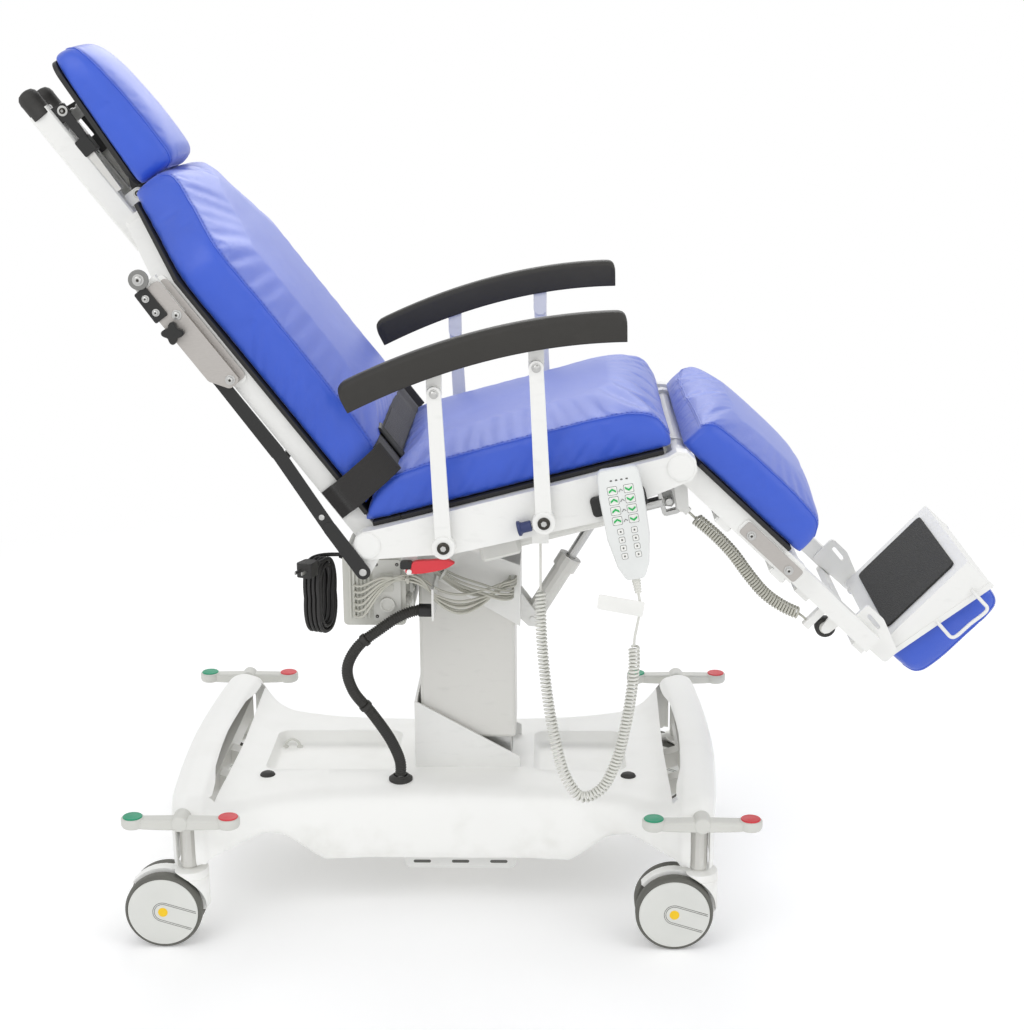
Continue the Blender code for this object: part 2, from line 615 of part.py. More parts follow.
for side, _ in SIDES:
    adds.append(across(BACK_PIVOT, side * (RAIL_IN + 0.004), side * (INNER_IN + 0.002), 0.010))
    adds.append(across(KNEE_PIVOT, side * (RAIL_IN + 0.004), side * (INNER_IN + 0.002), 0.010))
    adds.append(slab(link(on_seat(0.012, -0.006), BAR_PIN, 0.014, 0.012), side, RAIL_IN + 0.001,
                     RAIL_OUT - 0.006))
    cuts.append(across(BAR_PIN, side * (RAIL_IN - 0.012), side * (RAIL_OUT + 0.010), bore(0.005)))
    adds.append(slab(link(CROSS_REAR, TILT_PIVOT, 0.018, 0.018), side, CHEEK[1] + 0.001,
                     CHEEK[1] + 0.009))
    cuts.append(across(TILT_PIVOT, side * 0.06, side * 0.095, bore(0.008)))
    adds.append(slab(link(CROSS_FRONT, TILT_TOP, 0.018, 0.013), side, 0.012, 0.018))
    for name in ("front", "rear"):
        adds.append(across(POST_FOOT[name], side * (RAIL_OUT - 0.004), side * (RAIL_OUT + 0.0235), 0.006))
adds.append(across(TILT_TOP, -0.015, 0.015, 0.005))
adds.append(slab(link(CROSS_REAR, on_seat(0.1545, LEG_ROD), 0.016, 0.012), -1, ROD_Y - 0.006,
                 ROD_Y + 0.006))
adds.append(slab(link(CROSS_FRONT, on_seat(0.3355, BACK_ROD), 0.016, 0.012), 1, ROD_Y - 0.006,
                 ROD_Y + 0.006))
LEVER_PIN = on_seat(0.052, -0.056)
adds.append(slab(link(on_seat(0.060, -0.020), LEVER_PIN, 0.014, 0.010), -1, RAIL_IN + 0.008,
                 RAIL_IN + 0.016))
adds.append(across(LEVER_PIN, -RAIL_OUT - 0.0035, -RAIL_IN - 0.012, 0.004))
CORD_TOP = (0.048, -RAIL_IN + 0.024)
adds.append(box((CORD_TOP[0] - 0.013, CORD_TOP[0] + 0.013), (-RAIL_IN - 0.004, -RAIL_IN + 0.038),
                (0.664, 0.716)))
HOLDER = on_seat(0.392, -0.006)
adds.append(slab([(HOLDER[0] + x, HOLDER[1] + z) for x, z in ((-0.012, -0.020), (0.016, -0.020),
                                                              (0.016, 0.016), (-0.012, 0.016))],
                 -1, RAIL_OUT - 0.004, RAIL_OUT + 0.0155))
piece("seat_frame", rails[0], (WHITE, 0.45, 0.0), three(TILT_PIVOT, 0), adds, cuts)

board = [on_seat(s, h) for s, h in ((0.060, 0.0223), (0.478, 0.0223), (0.478, 0.0292), (0.060, 0.0292))]
piece("seat_board", plate(board, -SEAT_HALF + 0.002, SEAT_HALF - 0.002), (BLACK, 0.6, 0.0),
      three(on_seat(0.06, 0.022), 0))


def cushion(at, rows, base, crown, columns=7):
    """A crowned pad: rows of (along, top, half width) over a flat base, with sides that swell a little."""
    low, high = rows[0][0], rows[-1][0]
    rings = []
    for along, top, half in rows:
        u = 2 * (along - low) / (high - low) - 1
        ring = [(-half + 0.006, base), (-half, base + 0.30 * (top - base)),
                (-half + 0.003, base + 0.76 * (top - base))]
        for j in range(columns):
            v = 2 * j / (columns - 1) - 1
            lift = crown * (1 - v * v) * (1 - u ** 4)
            ring.append((v * (half - 0.022), top + lift))
        ring += [(-y, h) for y, h in reversed(ring[:3])]
        rings.append([three(at(along, h), y) for y, h in ring])
    return loft(rings)


seat_rows = [(0.080, 0.076, SEAT_HALF - 0.008), (0.100, 0.097, SEAT_HALF), (0.160, 0.103, SEAT_HALF),
             (0.300, 0.105, SEAT_HALF), (0.400, 0.102, SEAT_HALF), (0.438, 0.094, SEAT_HALF),
             (0.464, 0.072, SEAT_HALF - 0.003),
             (0.479, 0.044, SEAT_HALF - 0.010)]
piece("seat_cushion", cushion(on_seat, seat_rows, 0.0295, 0.012), (BLUE, 0.45, 0.0),
      three(on_seat(0.06, 0.0295), 0))

lever = slab(link(LEVER_PIN, (LEVER_PIN[0] + 0.072, LEVER_PIN[1] - 0.010), 0.010, 0.012), -1,
             RAIL_OUT - 0.0115, RAIL_OUT + 0.0005)
piece("release_lever", lever, (RED, 0.45, 0.0), three(LEVER_PIN, -RAIL_OUT + 0.006), (),
      [across(LEVER_PIN, -RAIL_OUT - 0.010, -RAIL_OUT + 0.020, bore(0.004))])


def drive(name, side, axis, tail, nose, stub, tip, swing):
    """A spindle drive under the seat: a body with a motor, and a rod whose slotted yoke turns a crank."""
    y = side * ROD_Y
    way = 1 if nose > tail else -1
    body = rod(three(on_seat(tail + way * 0.045, axis), y), three(on_seat(nose, axis), y), 0.0165, 14)
    motor = beam(three(on_seat(tail + way * 0.004, axis - 0.002), y), three(on_seat(tail + way * 0.070,
                                                                                    axis - 0.002), y),
                 0.052, 0.040)
    motor = rounded_edges(motor, 0.005, 1)
    hollow = rod(three(on_seat(tail + way * 0.085, axis), y), three(on_seat(nose + way * 0.02, axis),
                                                                    y), bore(0.0095))
    slot_in = beam(three(on_seat(tail - way * 0.04, axis), y), three(on_seat(tail + way * 0.018, axis),
                                                                     y), 0.0126, 0.10)
    piece(name + "_actuator", body, (GREY, 0.5, 0.0), three(on_seat(tail, axis), y), [motor],
          [slot_in, hollow])
    stem = rod(three(on_seat(stub, axis), y), three(on_seat(tip - way * 0.010, axis), y), 0.0095, 12)
    head_pts = [on_seat(tip + d, axis + h) for d, h in ((-0.015, -0.024), (0.015, -0.024),
                                                        (0.015, 0.024), (-0.015, 0.024))]
    yoke = slab(rounded(head_pts, 0.006, 3), side, ROD_Y - 0.007, ROD_Y + 0.007)
    slot = [on_seat(tip + d, axis + h) for d, h in ((-swing, -0.016), (swing, -0.016), (swing, 0.016),
                                                    (-swing, 0.016))]
    piece(name + "_rod", stem, (SILVER, 0.3, 1.0), three(on_seat(stub, axis), y), [yoke],
          [slab(slot, side, ROD_Y - 0.02, ROD_Y + 0.02)])


LEG_CRANK = 0.083
LEG_MID = math.radians(21.0)
LEG_PIN_S = SEAT_LEN - LEG_CRANK * math.sin(LEG_MID)
LEG_PIN_H = -LEG_CRANK * math.cos(LEG_MID)
BACK_CRANK = 0.085
BACK_MID = math.radians(31.5)
BACK_PIN_S = -BACK_CRANK * math.sin(BACK_MID)
BACK_PIN_H = -BACK_CRANK * math.cos(BACK_MID)
drive("leg", -1, LEG_ROD, 0.150, 0.395, 0.270, LEG_PIN_S, 0.0078)
drive("back", 1, BACK_ROD, 0.340, 0.105, 0.150, BACK_PIN_S, 0.0078)

# Seat tilt drive, between the column head and the seat
aim = Vector((TILT_TOP[0] - TILT_FOOT[0], TILT_TOP[1] - TILT_FOOT[1])).normalized()


def tilt_at(d, w=0.0):
    """A point along the tilt drive from its lower pin, and across it."""
    return (TILT_FOOT[0] + aim.x * d - aim.y * w, TILT_FOOT[1] + aim.y * d + aim.x * w)


barrel = rod(three(tilt_at(0.012), 0), three(tilt_at(0.118), 0), 0.0165, 14)
piece("tilt_actuator", barrel, (GREY, 0.45, 0.3), three(TILT_FOOT, 0),
      [slab(link(TILT_FOOT, tilt_at(0.030), 0.0125, 0.0125), 1, -0.0150, 0.0150),
       rod(three(tilt_at(0.100), 0), three(tilt_at(0.124), 0), 0.0205, 14)],
      [across(TILT_FOOT, -0.03, 0.03, bore(0.005)),
       rod(three(tilt_at(0.034), 0), three(tilt_at(0.14), 0), bore(0.0085))])
reach = (Vector(TILT_TOP) - Vector(TILT_FOOT)).length
plunger_rod = rod(three(tilt_at(0.095), 0), three(tilt_at(reach - 0.006), 0), 0.0085, 12)
piece("tilt_rod", plunger_rod, (SILVER, 0.3, 1.0), three(tilt_at(0.095), 0),
      [slab(link(tilt_at(reach - 0.012), TILT_TOP, 0.0085, 0.0120), 1, -0.0110, 0.0110)],
      [across(TILT_TOP, -0.03, 0.03, 0.0076)])

# Armrests
LEAN = math.atan2(0.240, -0.011)


def arm_line(t):
    """Middle line of the armrest pad in the side view, from rear to front."""
    x = -0.250 + 0.428 * t
    return (x, POST_LEN + 0.6615 + 0.2125 * t - 0.1030 * t * t)


def plunger_at(d, side):
    """A point on the line of a lock plunger, which points at the pivot of its front post."""
    return three(on_seat(0.2746 + d, -0.0280), side * (RAIL_OUT + 0.0128))


for side, hand in SIDES:
    rings = []
    for i in range(9):
        t = i / 8
        p = arm_line(t)
        q = arm_line(t + 0.01)
        turn = math.atan2(q[1] - p[1], q[0] - p[0])
        squeeze = 0.97 if 0 < i < 8 else 0.72
        tall, wide = 0.0225 * squeeze, 0.0170 * squeeze
        ring = []
        for u, v in ((-1, -0.6), (-0.6, -1), (0.6, -1), (1, -0.6), (1, 0.55), (0.62, 1), (-0.62, 1),
                     (-1, 0.55)):
            x = p[0] - math.sin(turn) * v * tall
            ring.append((x, side * ARM_Y + u * wide, p[1] + math.cos(turn) * v * tall))
        rings.append(ring)
    lugs, holes = [], []
    for name in ("front", "rear"):
        foot_at = POST_FOOT[name]
        screw_at = (foot_at[0] + POST_LEN * math.cos(LEAN), foot_at[1] + POST_LEN * math.sin(LEAN))
        lugs.append(slab(link(screw_at, (screw_at[0] - 0.002, screw_at[1] + 0.034), 0.010, 0.013, 5),
                         side, ARM_Y - 0.0115, ARM_Y - 0.0060))
        if name == "front":
            lugs.append(across(screw_at, side * (ARM_Y - 0.008), side * (ARM_Y + 0.0055), 0.004))
    piece("armrest_" + hand, loft(rings), (CHARCOAL, 0.5, 0.0),
          three((POST_FOOT["front"][0] + POST_LEN * math.cos(LEAN),
                 POST_FOOT["front"][1] + POST_LEN * math.sin(LEAN)), side * ARM_Y), lugs)
    for name in ("front", "rear"):
        foot_at = POST_FOOT[name]
        screw_at = (foot_at[0] + POST_LEN * math.cos(LEAN), foot_at[1] + POST_LEN * math.sin(LEAN))
        strip = slab(link(foot_at, screw_at, 0.0125, 0.0105), side, ARM_Y - 0.0057, ARM_Y + 0.0030)
        hub = across(foot_at, side * (RAIL_OUT + GAP), side * (ARM_Y + 0.0055), 0.0180, 12)
        holes = [across(foot_at, side * (ARM_Y - 0.025), side * (ARM_Y + 0.015), bore(0.006))]
        eye = bore(0.004) if name == "front" else 0.0060
        holes.append(across(screw_at, side * (ARM_Y - 0.025), side * (ARM_Y + 0.015), eye, 10))
        if name == "front":
            holes.append(rod(plunger_at(-0.040, side), plunger_at(-0.0095, side), bore(0.0045)))
        piece("armrest_post_%s_%s" % (name, hand), strip, (WHITE, 0.4, 0.0),
              three(foot_at, side * (ARM_Y - 0.002)), [hub], holes)
    knob = rod(plunger_at(-0.0375, side), plunger_at(-0.0195, side), 0.0085)
    stem = rod(plunger_at(-0.0300, side), plunger_at(-0.0100, side), 0.0045)
    rim = rod(plunger_at(-0.0415, side), plunger_at(-0.0365, side), 0.0118, 12)
    piece("lock_plunger_" + hand, knob, (NAVY, 0.4, 0.0), plunger_at(-0.030, side), [stem, rim])

# Back

EYE_R = 0.0225
rail = [on_back(a, b) for a, b in ((0.0, -0.014), (0.500, -0.012), (0.500, 0.020), (0.0, 0.020))]
body = slab(rail, -1, INNER_IN, INNER_OUT)
adds = [slab(rail, 1, INNER_IN, INNER_OUT), across(BACK_PIVOT, -INNER_IN - 0.003, INNER_IN + 0.003,
                                                   0.016)]
cuts = []
TAPER = (on_back(0.488, 0.004), on_back(0.606, 0.004))
up = Vector((math.cos(BACK_SLOPE - math.pi / 2), 0, math.sin(BACK_SLOPE - math.pi / 2)))
for side, _ in SIDES:
    adds.append(across(BACK_PIVOT, side * INNER_IN, side * INNER_OUT, EYE_R, 12))
    cuts.append(across(BACK_PIVOT, side * (INNER_IN + 0.001), side * (RAIL_OUT - 0.010), bore(0.010)))
    adds.append(beam(three(TAPER[0], side * (INNER_IN + INNER_OUT) / 2), three(TAPER[1], side * 0.120),
                     0.024, 0.0318, up))
    strip = [on_back(a, b) for a, b in ((0.312, -0.013), (0.515, -0.013), (0.515, 0.013), (0.312, 0.013))]
    adds.append(slab(rounded(strip, 0.006, 3), side, INNER_OUT - 0.002, INNER_OUT + 0.0025))
    clamp = [on_back(a, b) for a, b in ((0.352, -0.036), (0.528, -0.032), (0.540, -0.008),
                                        (0.352, -0.012))]
    adds.append(slab(rounded(clamp, 0.005, 3), side, INNER_OUT + 0.0100, INNER_OUT + 0.0140))
    block = [on_back(a, b) for a, b in ((0.450, -0.034), (0.520, -0.033), (0.520, 0.004), (0.450, 0.004))]
    adds.append(slab(block, side, INNER_OUT - 0.003, INNER_OUT + 0.0120))
    adds.append(across(on_back(0.529, -0.0165), side * (INNER_OUT + 0.0080),
                       side * (INNER_OUT + 0.0220), 0.0125))
adds.append(beam(three(on_back(0.602, 0.0062), -0.135), three(on_back(0.602, 0.0062), 0.135), 0.030,
                 0.0272, up))
adds.append(beam(three(on_back(0.300, 0.006), -INNER_IN - 0.004),
                 three(on_back(0.300, 0.006), INNER_IN + 0.004), 0.030, 0.020, up))
crank = slab(link(BACK_PIVOT, on_seat(BACK_PIN_S, BACK_PIN_H), 0.020, 0.014), 1, ROD_Y - 0.0180,
             ROD_Y - 0.0105)
adds += [crank, across(on_seat(BACK_PIN_S, BACK_PIN_H), ROD_Y - 0.0140, ROD_Y + 0.010, 0.0055)]
piece("back_frame", body, (WHITE, 0.45, 0.0), three(BACK_PIVOT, 0), adds, cuts)


def back_half(a):
    """Half width of the back: straight to the shoulder, then drawn in to the head end."""
    if a <= 0.495:
        return PAD_HALF
    return PAD_HALF + (0.142 - PAD_HALF) * (a - 0.495) / (0.630 - 0.495)


plan = [(a, back_half(a)) for a in (0.036, 0.495, 0.626)]
outline_board = [(a, -w) for a, w in plan] + [(a, w) for a, w in reversed(plan)]
flat = plate(outline_board, -0.0035, 0.0035, "Z")
turn = Matrix((Vector((math.cos(BACK_SLOPE), 0, math.sin(BACK_SLOPE))), Vector((0, -1, 0)),
               up)).transposed().to_4x4()
centre = on_back(0.0, 0.0240)
flat.data.transform(Matrix.Translation(three(centre, 0)) @ turn)
piece("back_board", flat, (BLACK, 0.6, 0.0), three(on_back(0.036, 0.024), 0))
back_rows = [(0.036, 0.078, PAD_HALF - 0.010), (0.052, 0.098, PAD_HALF - 0.002), (0.110, 0.106, PAD_HALF),
             (0.240, 0.108, PAD_HALF), (0.380, 0.107, PAD_HALF), (0.480, 0.104, PAD_HALF),
             (0.510, 0.102, back_half(0.510)),
             (0.575, 0.096, back_half(0.575)), (0.612, 0.090, back_half(0.612) - 0.002),
             (0.628, 0.070, back_half(0.628) - 0.010)]
piece("back_cushion", cushion(on_back, back_rows, 0.0278, 0.012), (BLUE, 0.45, 0.0),
      three(on_back(0.036, 0.028), 0))


def strap(a, lean):
    """Section of the belt round the lower back, at a height of its strip."""
    rail, pad = -INNER_OUT - GAP, -PAD_HALF
    inner = [(rail, -0.010), (rail, 0.004), (pad - 0.002, 0.016), (pad - 0.005, 0.060),
             (pad - 0.002, 0.104), (pad + 0.0125, 0.1155), (pad + 0.1005, 0.1215), (0.0, 0.1245)]
    inner += [(-y, b) for y, b in reversed(inner[:-1])]
    thick = 0.0022
    outer = []
    for i, (y, b) in enumerate(inner):
        before, after = inner[max(i - 1, 0)], inner[min(i + 1, len(inner) - 1)]
        dy, db = after[0] - before[0], after[1] - before[1]
        size = math.hypot(dy, db)
        outer.append((y - thick * db / size, b + thick * dy / size))
    ring = inner + list(reversed(outer))
    return [three(on_back(a + lean * b, b), y) for y, b in ring]


belt = loft([strap(0.078, 0.32), strap(0.128, 0.32)])
piece("seat_belt", belt, (BLACK, 0.7, 0.0), three(on_back(0.1, 0.0), -PAD_HALF - 0.005))

bars = slab(link(on_back(-0.016, -0.0310), on_back(0.343, -0.0265), 0.0100, 0.0100), -1,
            INNER_OUT + 0.0035, INNER_OUT + 0.0088)
adds = [slab(link(on_back(-0.016, -0.0310), on_back(0.343, -0.0265), 0.0100, 0.0100), 1,
             INNER_OUT + 0.0035, INNER_OUT + 0.0088)]
for side, _ in SIDES:
    adds.append(slab(link(BAR_PIN, on_back(0.010, -0.0310), 0.0105, 0.0100), side, INNER_OUT + 0.0038,
                     INNER_OUT + 0.0085))
    adds.append(across(BAR_PIN, side * (INNER_OUT + 0.005), side * RAIL_OUT, 0.005))
TIE = on_back(0.180, -0.0290)
adds.append(across(TIE, -INNER_OUT - 0.006, INNER_OUT + 0.006, 0.0060))
piece("back_link", bars, (BLACK, 0.45, 0.3), three(BAR_PIN, 0), adds)

# Head end
HEAD_PIVOT = on_back(0.643, 0.013)
arms = []
for side, _ in SIDES:
    arms.append(beam(three(on_back(0.572, -0.0262), side * 0.0425), three(on_back(0.836, -0.0262),
                                                                          side * 0.0425), 0.0250,
                                                                          0.0368, up))
adds = arms[1:]
adds.append(beam(three(on_back(0.690, -0.0425), -0.045), three(on_back(0.690, -0.0425), 0.045), 0.120,
                 0.0035, up))
for side, _ in SIDES:
    lug = link(on_back(0.643, -0.020), HEAD_PIVOT, 0.014, 0.011)
    adds.append(slab(lug, side, 0.0315, 0.0375))
    rings = []
    for a, r in ((0.830, 0.0178), (0.858, 0.0180), (0.869, 0.0150), (0.8745, 0.0085)):
        ring = arc((side * 0.0425, -0.0262), r, 0, 324, 10)
        rings.append([three(on_back(a, b), y) for y, b in ring])
    adds.append(loft(rings))
adds.append(across(HEAD_PIVOT, -0.0355, 0.0355, 0.005))
piece("head_channel", arms[0], (WHITE, 0.45, 0.0), three(on_back(0.602, -0.0262), 0), adds)

HEAD_LEAN = math.radians(4.5)
on_head = tilted(on_back(0.650, 0.0300), BACK_SLOPE - HEAD_LEAN)


def head_at(along, above):
    return on_head(along, -above)


head_up = Vector((math.cos(BACK_SLOPE - HEAD_LEAN - math.pi / 2), 0,
                  math.sin(BACK_SLOPE - HEAD_LEAN - math.pi / 2)))
shape = rounded([(0.0, -0.088), (0.0, 0.088), (0.228, 0.088), (0.228, -0.088)], 0.030, 4)
flat = plate(shape, -0.004, 0.004, "Z")
turn = Matrix((Vector((math.cos(BACK_SLOPE - HEAD_LEAN), 0, math.sin(BACK_SLOPE - HEAD_LEAN))),
               Vector((0, -1, 0)), head_up)).transposed().to_4x4()
flat.data.transform(Matrix.Translation(three(head_at(0.0, 0.0), 0)) @ turn)
adds = []
for side, _ in SIDES:
    adds.append(slab(link(HEAD_PIVOT, head_at(0.040, -0.0035), 0.0110, 0.0050), side, 0.0240, 0.0310))
outer_arc = arc(HEAD_PIVOT, 0.172, 117, 144, 4)
inner_arc = arc(HEAD_PIVOT, 0.150, 144, 117, 4)
adds.append(slab(outer_arc + inner_arc, 1, -0.004, 0.004))
piece("headrest_plate", flat, (BLACK, 0.5, 0.2), three(HEAD_PIVOT, 0), adds,
      [across(HEAD_PIVOT, -0.04, 0.04, bore(0.005))])
head_rows = [(0.000, 0.036, 0.076), (0.012, 0.050, 0.090), (0.060, 0.054, 0.095), (0.150, 0.055, 0.095),
             (0.205, 0.052, 0.090),
             (0.226, 0.042, 0.074), (0.234, 0.024, 0.058)]
piece("headrest_cushion", cushion(head_at, head_rows, 0.0043, 0.010), (BLUE, 0.45, 0.0),
      three(HEAD_PIVOT, 0))

# Leg rest
rail = [on_leg(s, h) for s, h in ((0.0, -0.020), (0.262, -0.020), (0.262, 0.015), (0.0, 0.015))]
body = slab(rail, -1, INNER_IN, INNER_OUT)
adds = [slab(rail, 1, INNER_IN, INNER_OUT), across(KNEE_PIVOT, -INNER_IN - 0.003, INNER_IN + 0.003,
                                                   0.016)]
cuts = []
leg_up = Vector((math.cos(LEG_SLOPE + math.pi / 2), 0, math.sin(LEG_SLOPE + math.pi / 2)))
for side, _ in SIDES:
    adds.append(across(KNEE_PIVOT, side * INNER_IN, side * INNER_OUT, 0.0220, 12))
    cuts.append(across(KNEE_PIVOT, side * (INNER_IN + 0.001), side * (RAIL_OUT - 0.010), bore(0.010)))
    strip = [on_leg(s, h) for s, h in ((0.140, -0.016), (0.268, -0.016), (0.268, 0.010), (0.140, 0.010))]
    adds.append(slab(rounded(strip, 0.006, 3), side, INNER_OUT - 0.002, INNER_OUT + 0.0030))
for s in (0.120, 0.240):
    adds.append(beam(three(on_leg(s, -0.0250), -INNER_OUT + 0.004),
                     three(on_leg(s, -0.0250), INNER_OUT - 0.004), 0.030, 0.0070, leg_up))
    adds.append(beam(three(on_leg(s, 0.0122), -INNER_OUT + 0.004),
                     three(on_leg(s, 0.0122), INNER_OUT - 0.004), 0.024, 0.0040, leg_up))
    for side, _ in SIDES:
        adds.append(beam(three(on_leg(s, -0.030), side * (INNER_OUT - 0.013)),
                         three(on_leg(s, 0.0), side * (INNER_OUT - 0.013)), 0.020, 0.024,
                         (math.cos(LEG_SLOPE), 0, math.sin(LEG_SLOPE))))
crank_pin = on_seat(LEG_PIN_S, LEG_PIN_H)
adds.append(slab(link(KNEE_PIVOT, crank_pin, 0.020, 0.014), -1, ROD_Y - 0.0180, ROD_Y - 0.0105))
adds.append(across(crank_pin, -ROD_Y + 0.0140, -ROD_Y - 0.010, 0.0055))
COIL_Y = -INNER_IN + 0.0295
COIL_S = (0.0785, 0.3400)
adds.append(slab(link(KNEE_PIVOT, on_leg(0.066, -0.054), 0.013, 0.009), 1, COIL_Y - 0.005,
                 COIL_Y + 0.005))
adds.append(beam(three(on_leg(0.060, -0.054), COIL_Y), three(on_leg(COIL_S[0], -0.054), COIL_Y), 0.0096,
                 0.0120, leg_up))
piece("leg_frame", body, (WHITE, 0.45, 0.0), three(KNEE_PIVOT, 0), adds, cuts)
board = [on_leg(s, h) for s, h in ((0.024, 0.0158), (0.222, 0.0158), (0.222, 0.0228), (0.024, 0.0228))]
piece("leg_board", plate(board, -PAD_HALF + 0.002, PAD_HALF - 0.002), (BLACK, 0.6, 0.0),
      three(on_leg(0.024, 0.0158), 0))
leg_rows = [(-0.008, 0.062, PAD_HALF - 0.010), (0.004, 0.078, PAD_HALF - 0.002),
            (0.040, 0.087, PAD_HALF), (0.110, 0.090, PAD_HALF),
            (0.180, 0.089, PAD_HALF), (0.212, 0.082, PAD_HALF - 0.004), (0.226, 0.062, PAD_HALF - 0.014)]
piece("leg_cushion", cushion(on_leg, leg_rows, 0.0231, 0.012), (BLUE, 0.45, 0.0),
      three(on_leg(0.02, 0.024), 0))

FOOT_PIVOT = on_leg(0.473, -0.004)
SLIDE_Y = (INNER_IN - 0.026, INNER_IN - PLAY)
TIE_Y = INNER_IN - 0.010
ROLL_Y = -INNER_IN + 0.035
runner = [on_leg(s, h) for s, h in ((0.060, -0.0208), (0.440, -0.0208), (0.440, 0.0098), (0.060, 0.0098))]
body = slab(runner, -1, *SLIDE_Y)
adds = [slab(runner, 1, *SLIDE_Y),
        beam(three(on_leg(0.300, -0.0240), -TIE_Y), three(on_leg(0.300, -0.0240), TIE_Y), 0.026, 0.0100,
             leg_up),
        beam(three(on_leg(0.428, -0.0240), -TIE_Y), three(on_leg(0.428, -0.0240), TIE_Y), 0.022, 0.0100,
             leg_up),
        across(FOOT_PIVOT, -TIE_Y + 0.015, TIE_Y - 0.015, 0.005)]
cuts = []
for side, _ in SIDES:
    cheek = [on_leg(s, h) for s, h in ((0.392, -0.018), (0.484, -0.016), (0.484, 0.012), (0.430, 0.034),
                                       (0.392, 0.034))]
    adds.append(slab(rounded(cheek, 0.007, 3), side, INNER_IN - 0.032, INNER_IN - 0.025))
    slot = link(on_leg(0.408, 0.022), on_leg(0.432, 0.019), 0.0035, 0.0035, 4)
    cuts.append(slab(slot, side, INNER_IN - 0.045, INNER_IN - 0.015))
ROLLER = on_leg(0.372, -0.0400)
adds.append(slab(link(on_leg(0.372, -0.012), ROLLER, 0.012, 0.008), -1, INNER_IN - 0.0245,
                 INNER_IN - 0.0190))
adds.append(across(ROLLER, ROLL_Y - 0.014, ROLL_Y + 0.011, 0.004))
adds.append(beam(three(on_leg(0.346, -0.014), COIL_Y - 0.002),
                 three(on_leg(0.346, -0.0605), COIL_Y - 0.002), 0.0150, 0.0120,
                 (math.cos(LEG_SLOPE), 0, math.sin(LEG_SLOPE))))
piece("foot_slide", body, (WHITE, 0.45, 0.0), three(on_leg(0.440, -0.0208), 0), adds, cuts)
roller = turned([(0.0, -0.0085), (0.0140, -0.0085), (0.0165, -0.0050), (0.0165, 0.0050),
                 (0.0140, 0.0085), (0.0, 0.0085)],
                (ROLLER[0], ROLL_Y, ROLLER[1]), 14)
piece("foot_roller", roller, (CHARCOAL, 0.6, 0.0), three(ROLLER, ROLL_Y), (),
      [across(ROLLER, ROLL_Y - 0.02, ROLL_Y + 0.02, bore(0.004))])

sheet = [on_leg(s, h) for s, h in ((0.4630, -0.004), (0.4662, -0.004), (0.4662, 0.192), (0.4630, 0.192))]
body = plate(sheet, -FOOT_HALF, FOOT_HALF)
adds = []
for side, _ in SIDES:
    flange = [on_leg(s, h) for s, h in ((0.4632, -0.012), (0.4860, -0.012), (0.5090, 0.060),
                                        (0.5090, 0.1918), (0.4632, 0.1918))]
    adds.append(slab(flange, side, FOOT_HALF - 0.0030, FOOT_HALF + 0.0002))
    adds.append(across(FOOT_PIVOT, side * (FOOT_HALF - 0.028), side * FOOT_HALF, 0.0095))
rim = [on_leg(s, h) for s, h in ((0.4634, 0.1886), (0.4900, 0.1886), (0.4900, 0.1914), (0.4634, 0.1914))]
adds.append(plate(rim, -FOOT_HALF + 0.001, FOOT_HALF - 0.001))
bail_marks = ((0.500, 0.030, -0.0015), (0.500, 0.030, 0.0060), (0.532, 0.034, 0.0100),
              (0.532, 0.112, 0.0100), (0.500, 0.116, 0.0060), (0.500, 0.116, -0.0015))
BAIL = [three(on_leg(s, h), -FOOT_HALF - out) for s, h, out in bail_marks]
adds.append(tube(BAIL, 0.0030, 1))
piece("foot_plate", body, (WHITE, 0.45, 0.0), three(FOOT_PIVOT, 0), adds, [across(FOOT_PIVOT, -INNER_IN,
                                                                                  INNER_IN, bore(0.005))])
grip = [on_leg(s, h) for s, h in ((0.4592, 0.022), (0.4627, 0.022), (0.4627, 0.172), (0.4592, 0.172))]
piece("grip_pad", plate(grip, -FOOT_HALF + 0.030, FOOT_HALF - 0.030), (BLACK, 0.85, 0.0),
      three(on_leg(0.4627, 0.022), 0))


def foot_at(along, above):
    """Frame of the foot cushion: along runs up the foot plate, above points away from the soles."""
    return on_leg(0.4665 + above, along)


sole = FOOT_HALF - 0.007
foot_rows = [(0.014, 0.048, sole - 0.021), (0.026, 0.076, sole - 0.005), (0.060, 0.0885, sole),
             (0.130, 0.0910, sole), (0.170, 0.0832, sole - 0.005), (0.184, 0.056, sole - 0.017)]
piece("foot_cushion", cushion(foot_at, foot_rows, 0.0003, 0.006), (BLUE, 0.45, 0.0),
      three(on_leg(0.467, 0.02), 0))

# Handset and curly cords
hs_c = (0.176, 0.707)
hs_lean = math.radians(-97.0)
on_set = tilted(hs_c, hs_lean)
shape = [(-0.088, -0.034), (-0.088, 0.034), (0.045, 0.034), (0.078, 0.026), (0.088, 0.012),
         (0.088, -0.012), (0.078, -0.026), (0.045, -0.034)]
handset = slab([on_set(u, v) for u, v in shape], -1, SET_Y - 0.013, SET_Y + 0.013)
handset = rounded_edges(handset, 0.006, 1)
relief = rod(three(on_set(0.080, 0.0), -SET_Y), three(on_set(0.112, 0.0), -SET_Y), 0.0075, 10, 0.0050)
hook = slab([on_set(u, v) for u, v in ((-0.072, -0.009), (-0.050, -0.009), (-0.050, 0.009),
                                       (-0.072, 0.009))], -1, SET_Y - 0.0142, SET_Y - 0.0110)
piece("handset", handset, (PALE, 0.4, 0.0), three(on_set(0, 0), -SET_Y), [relief, hook])

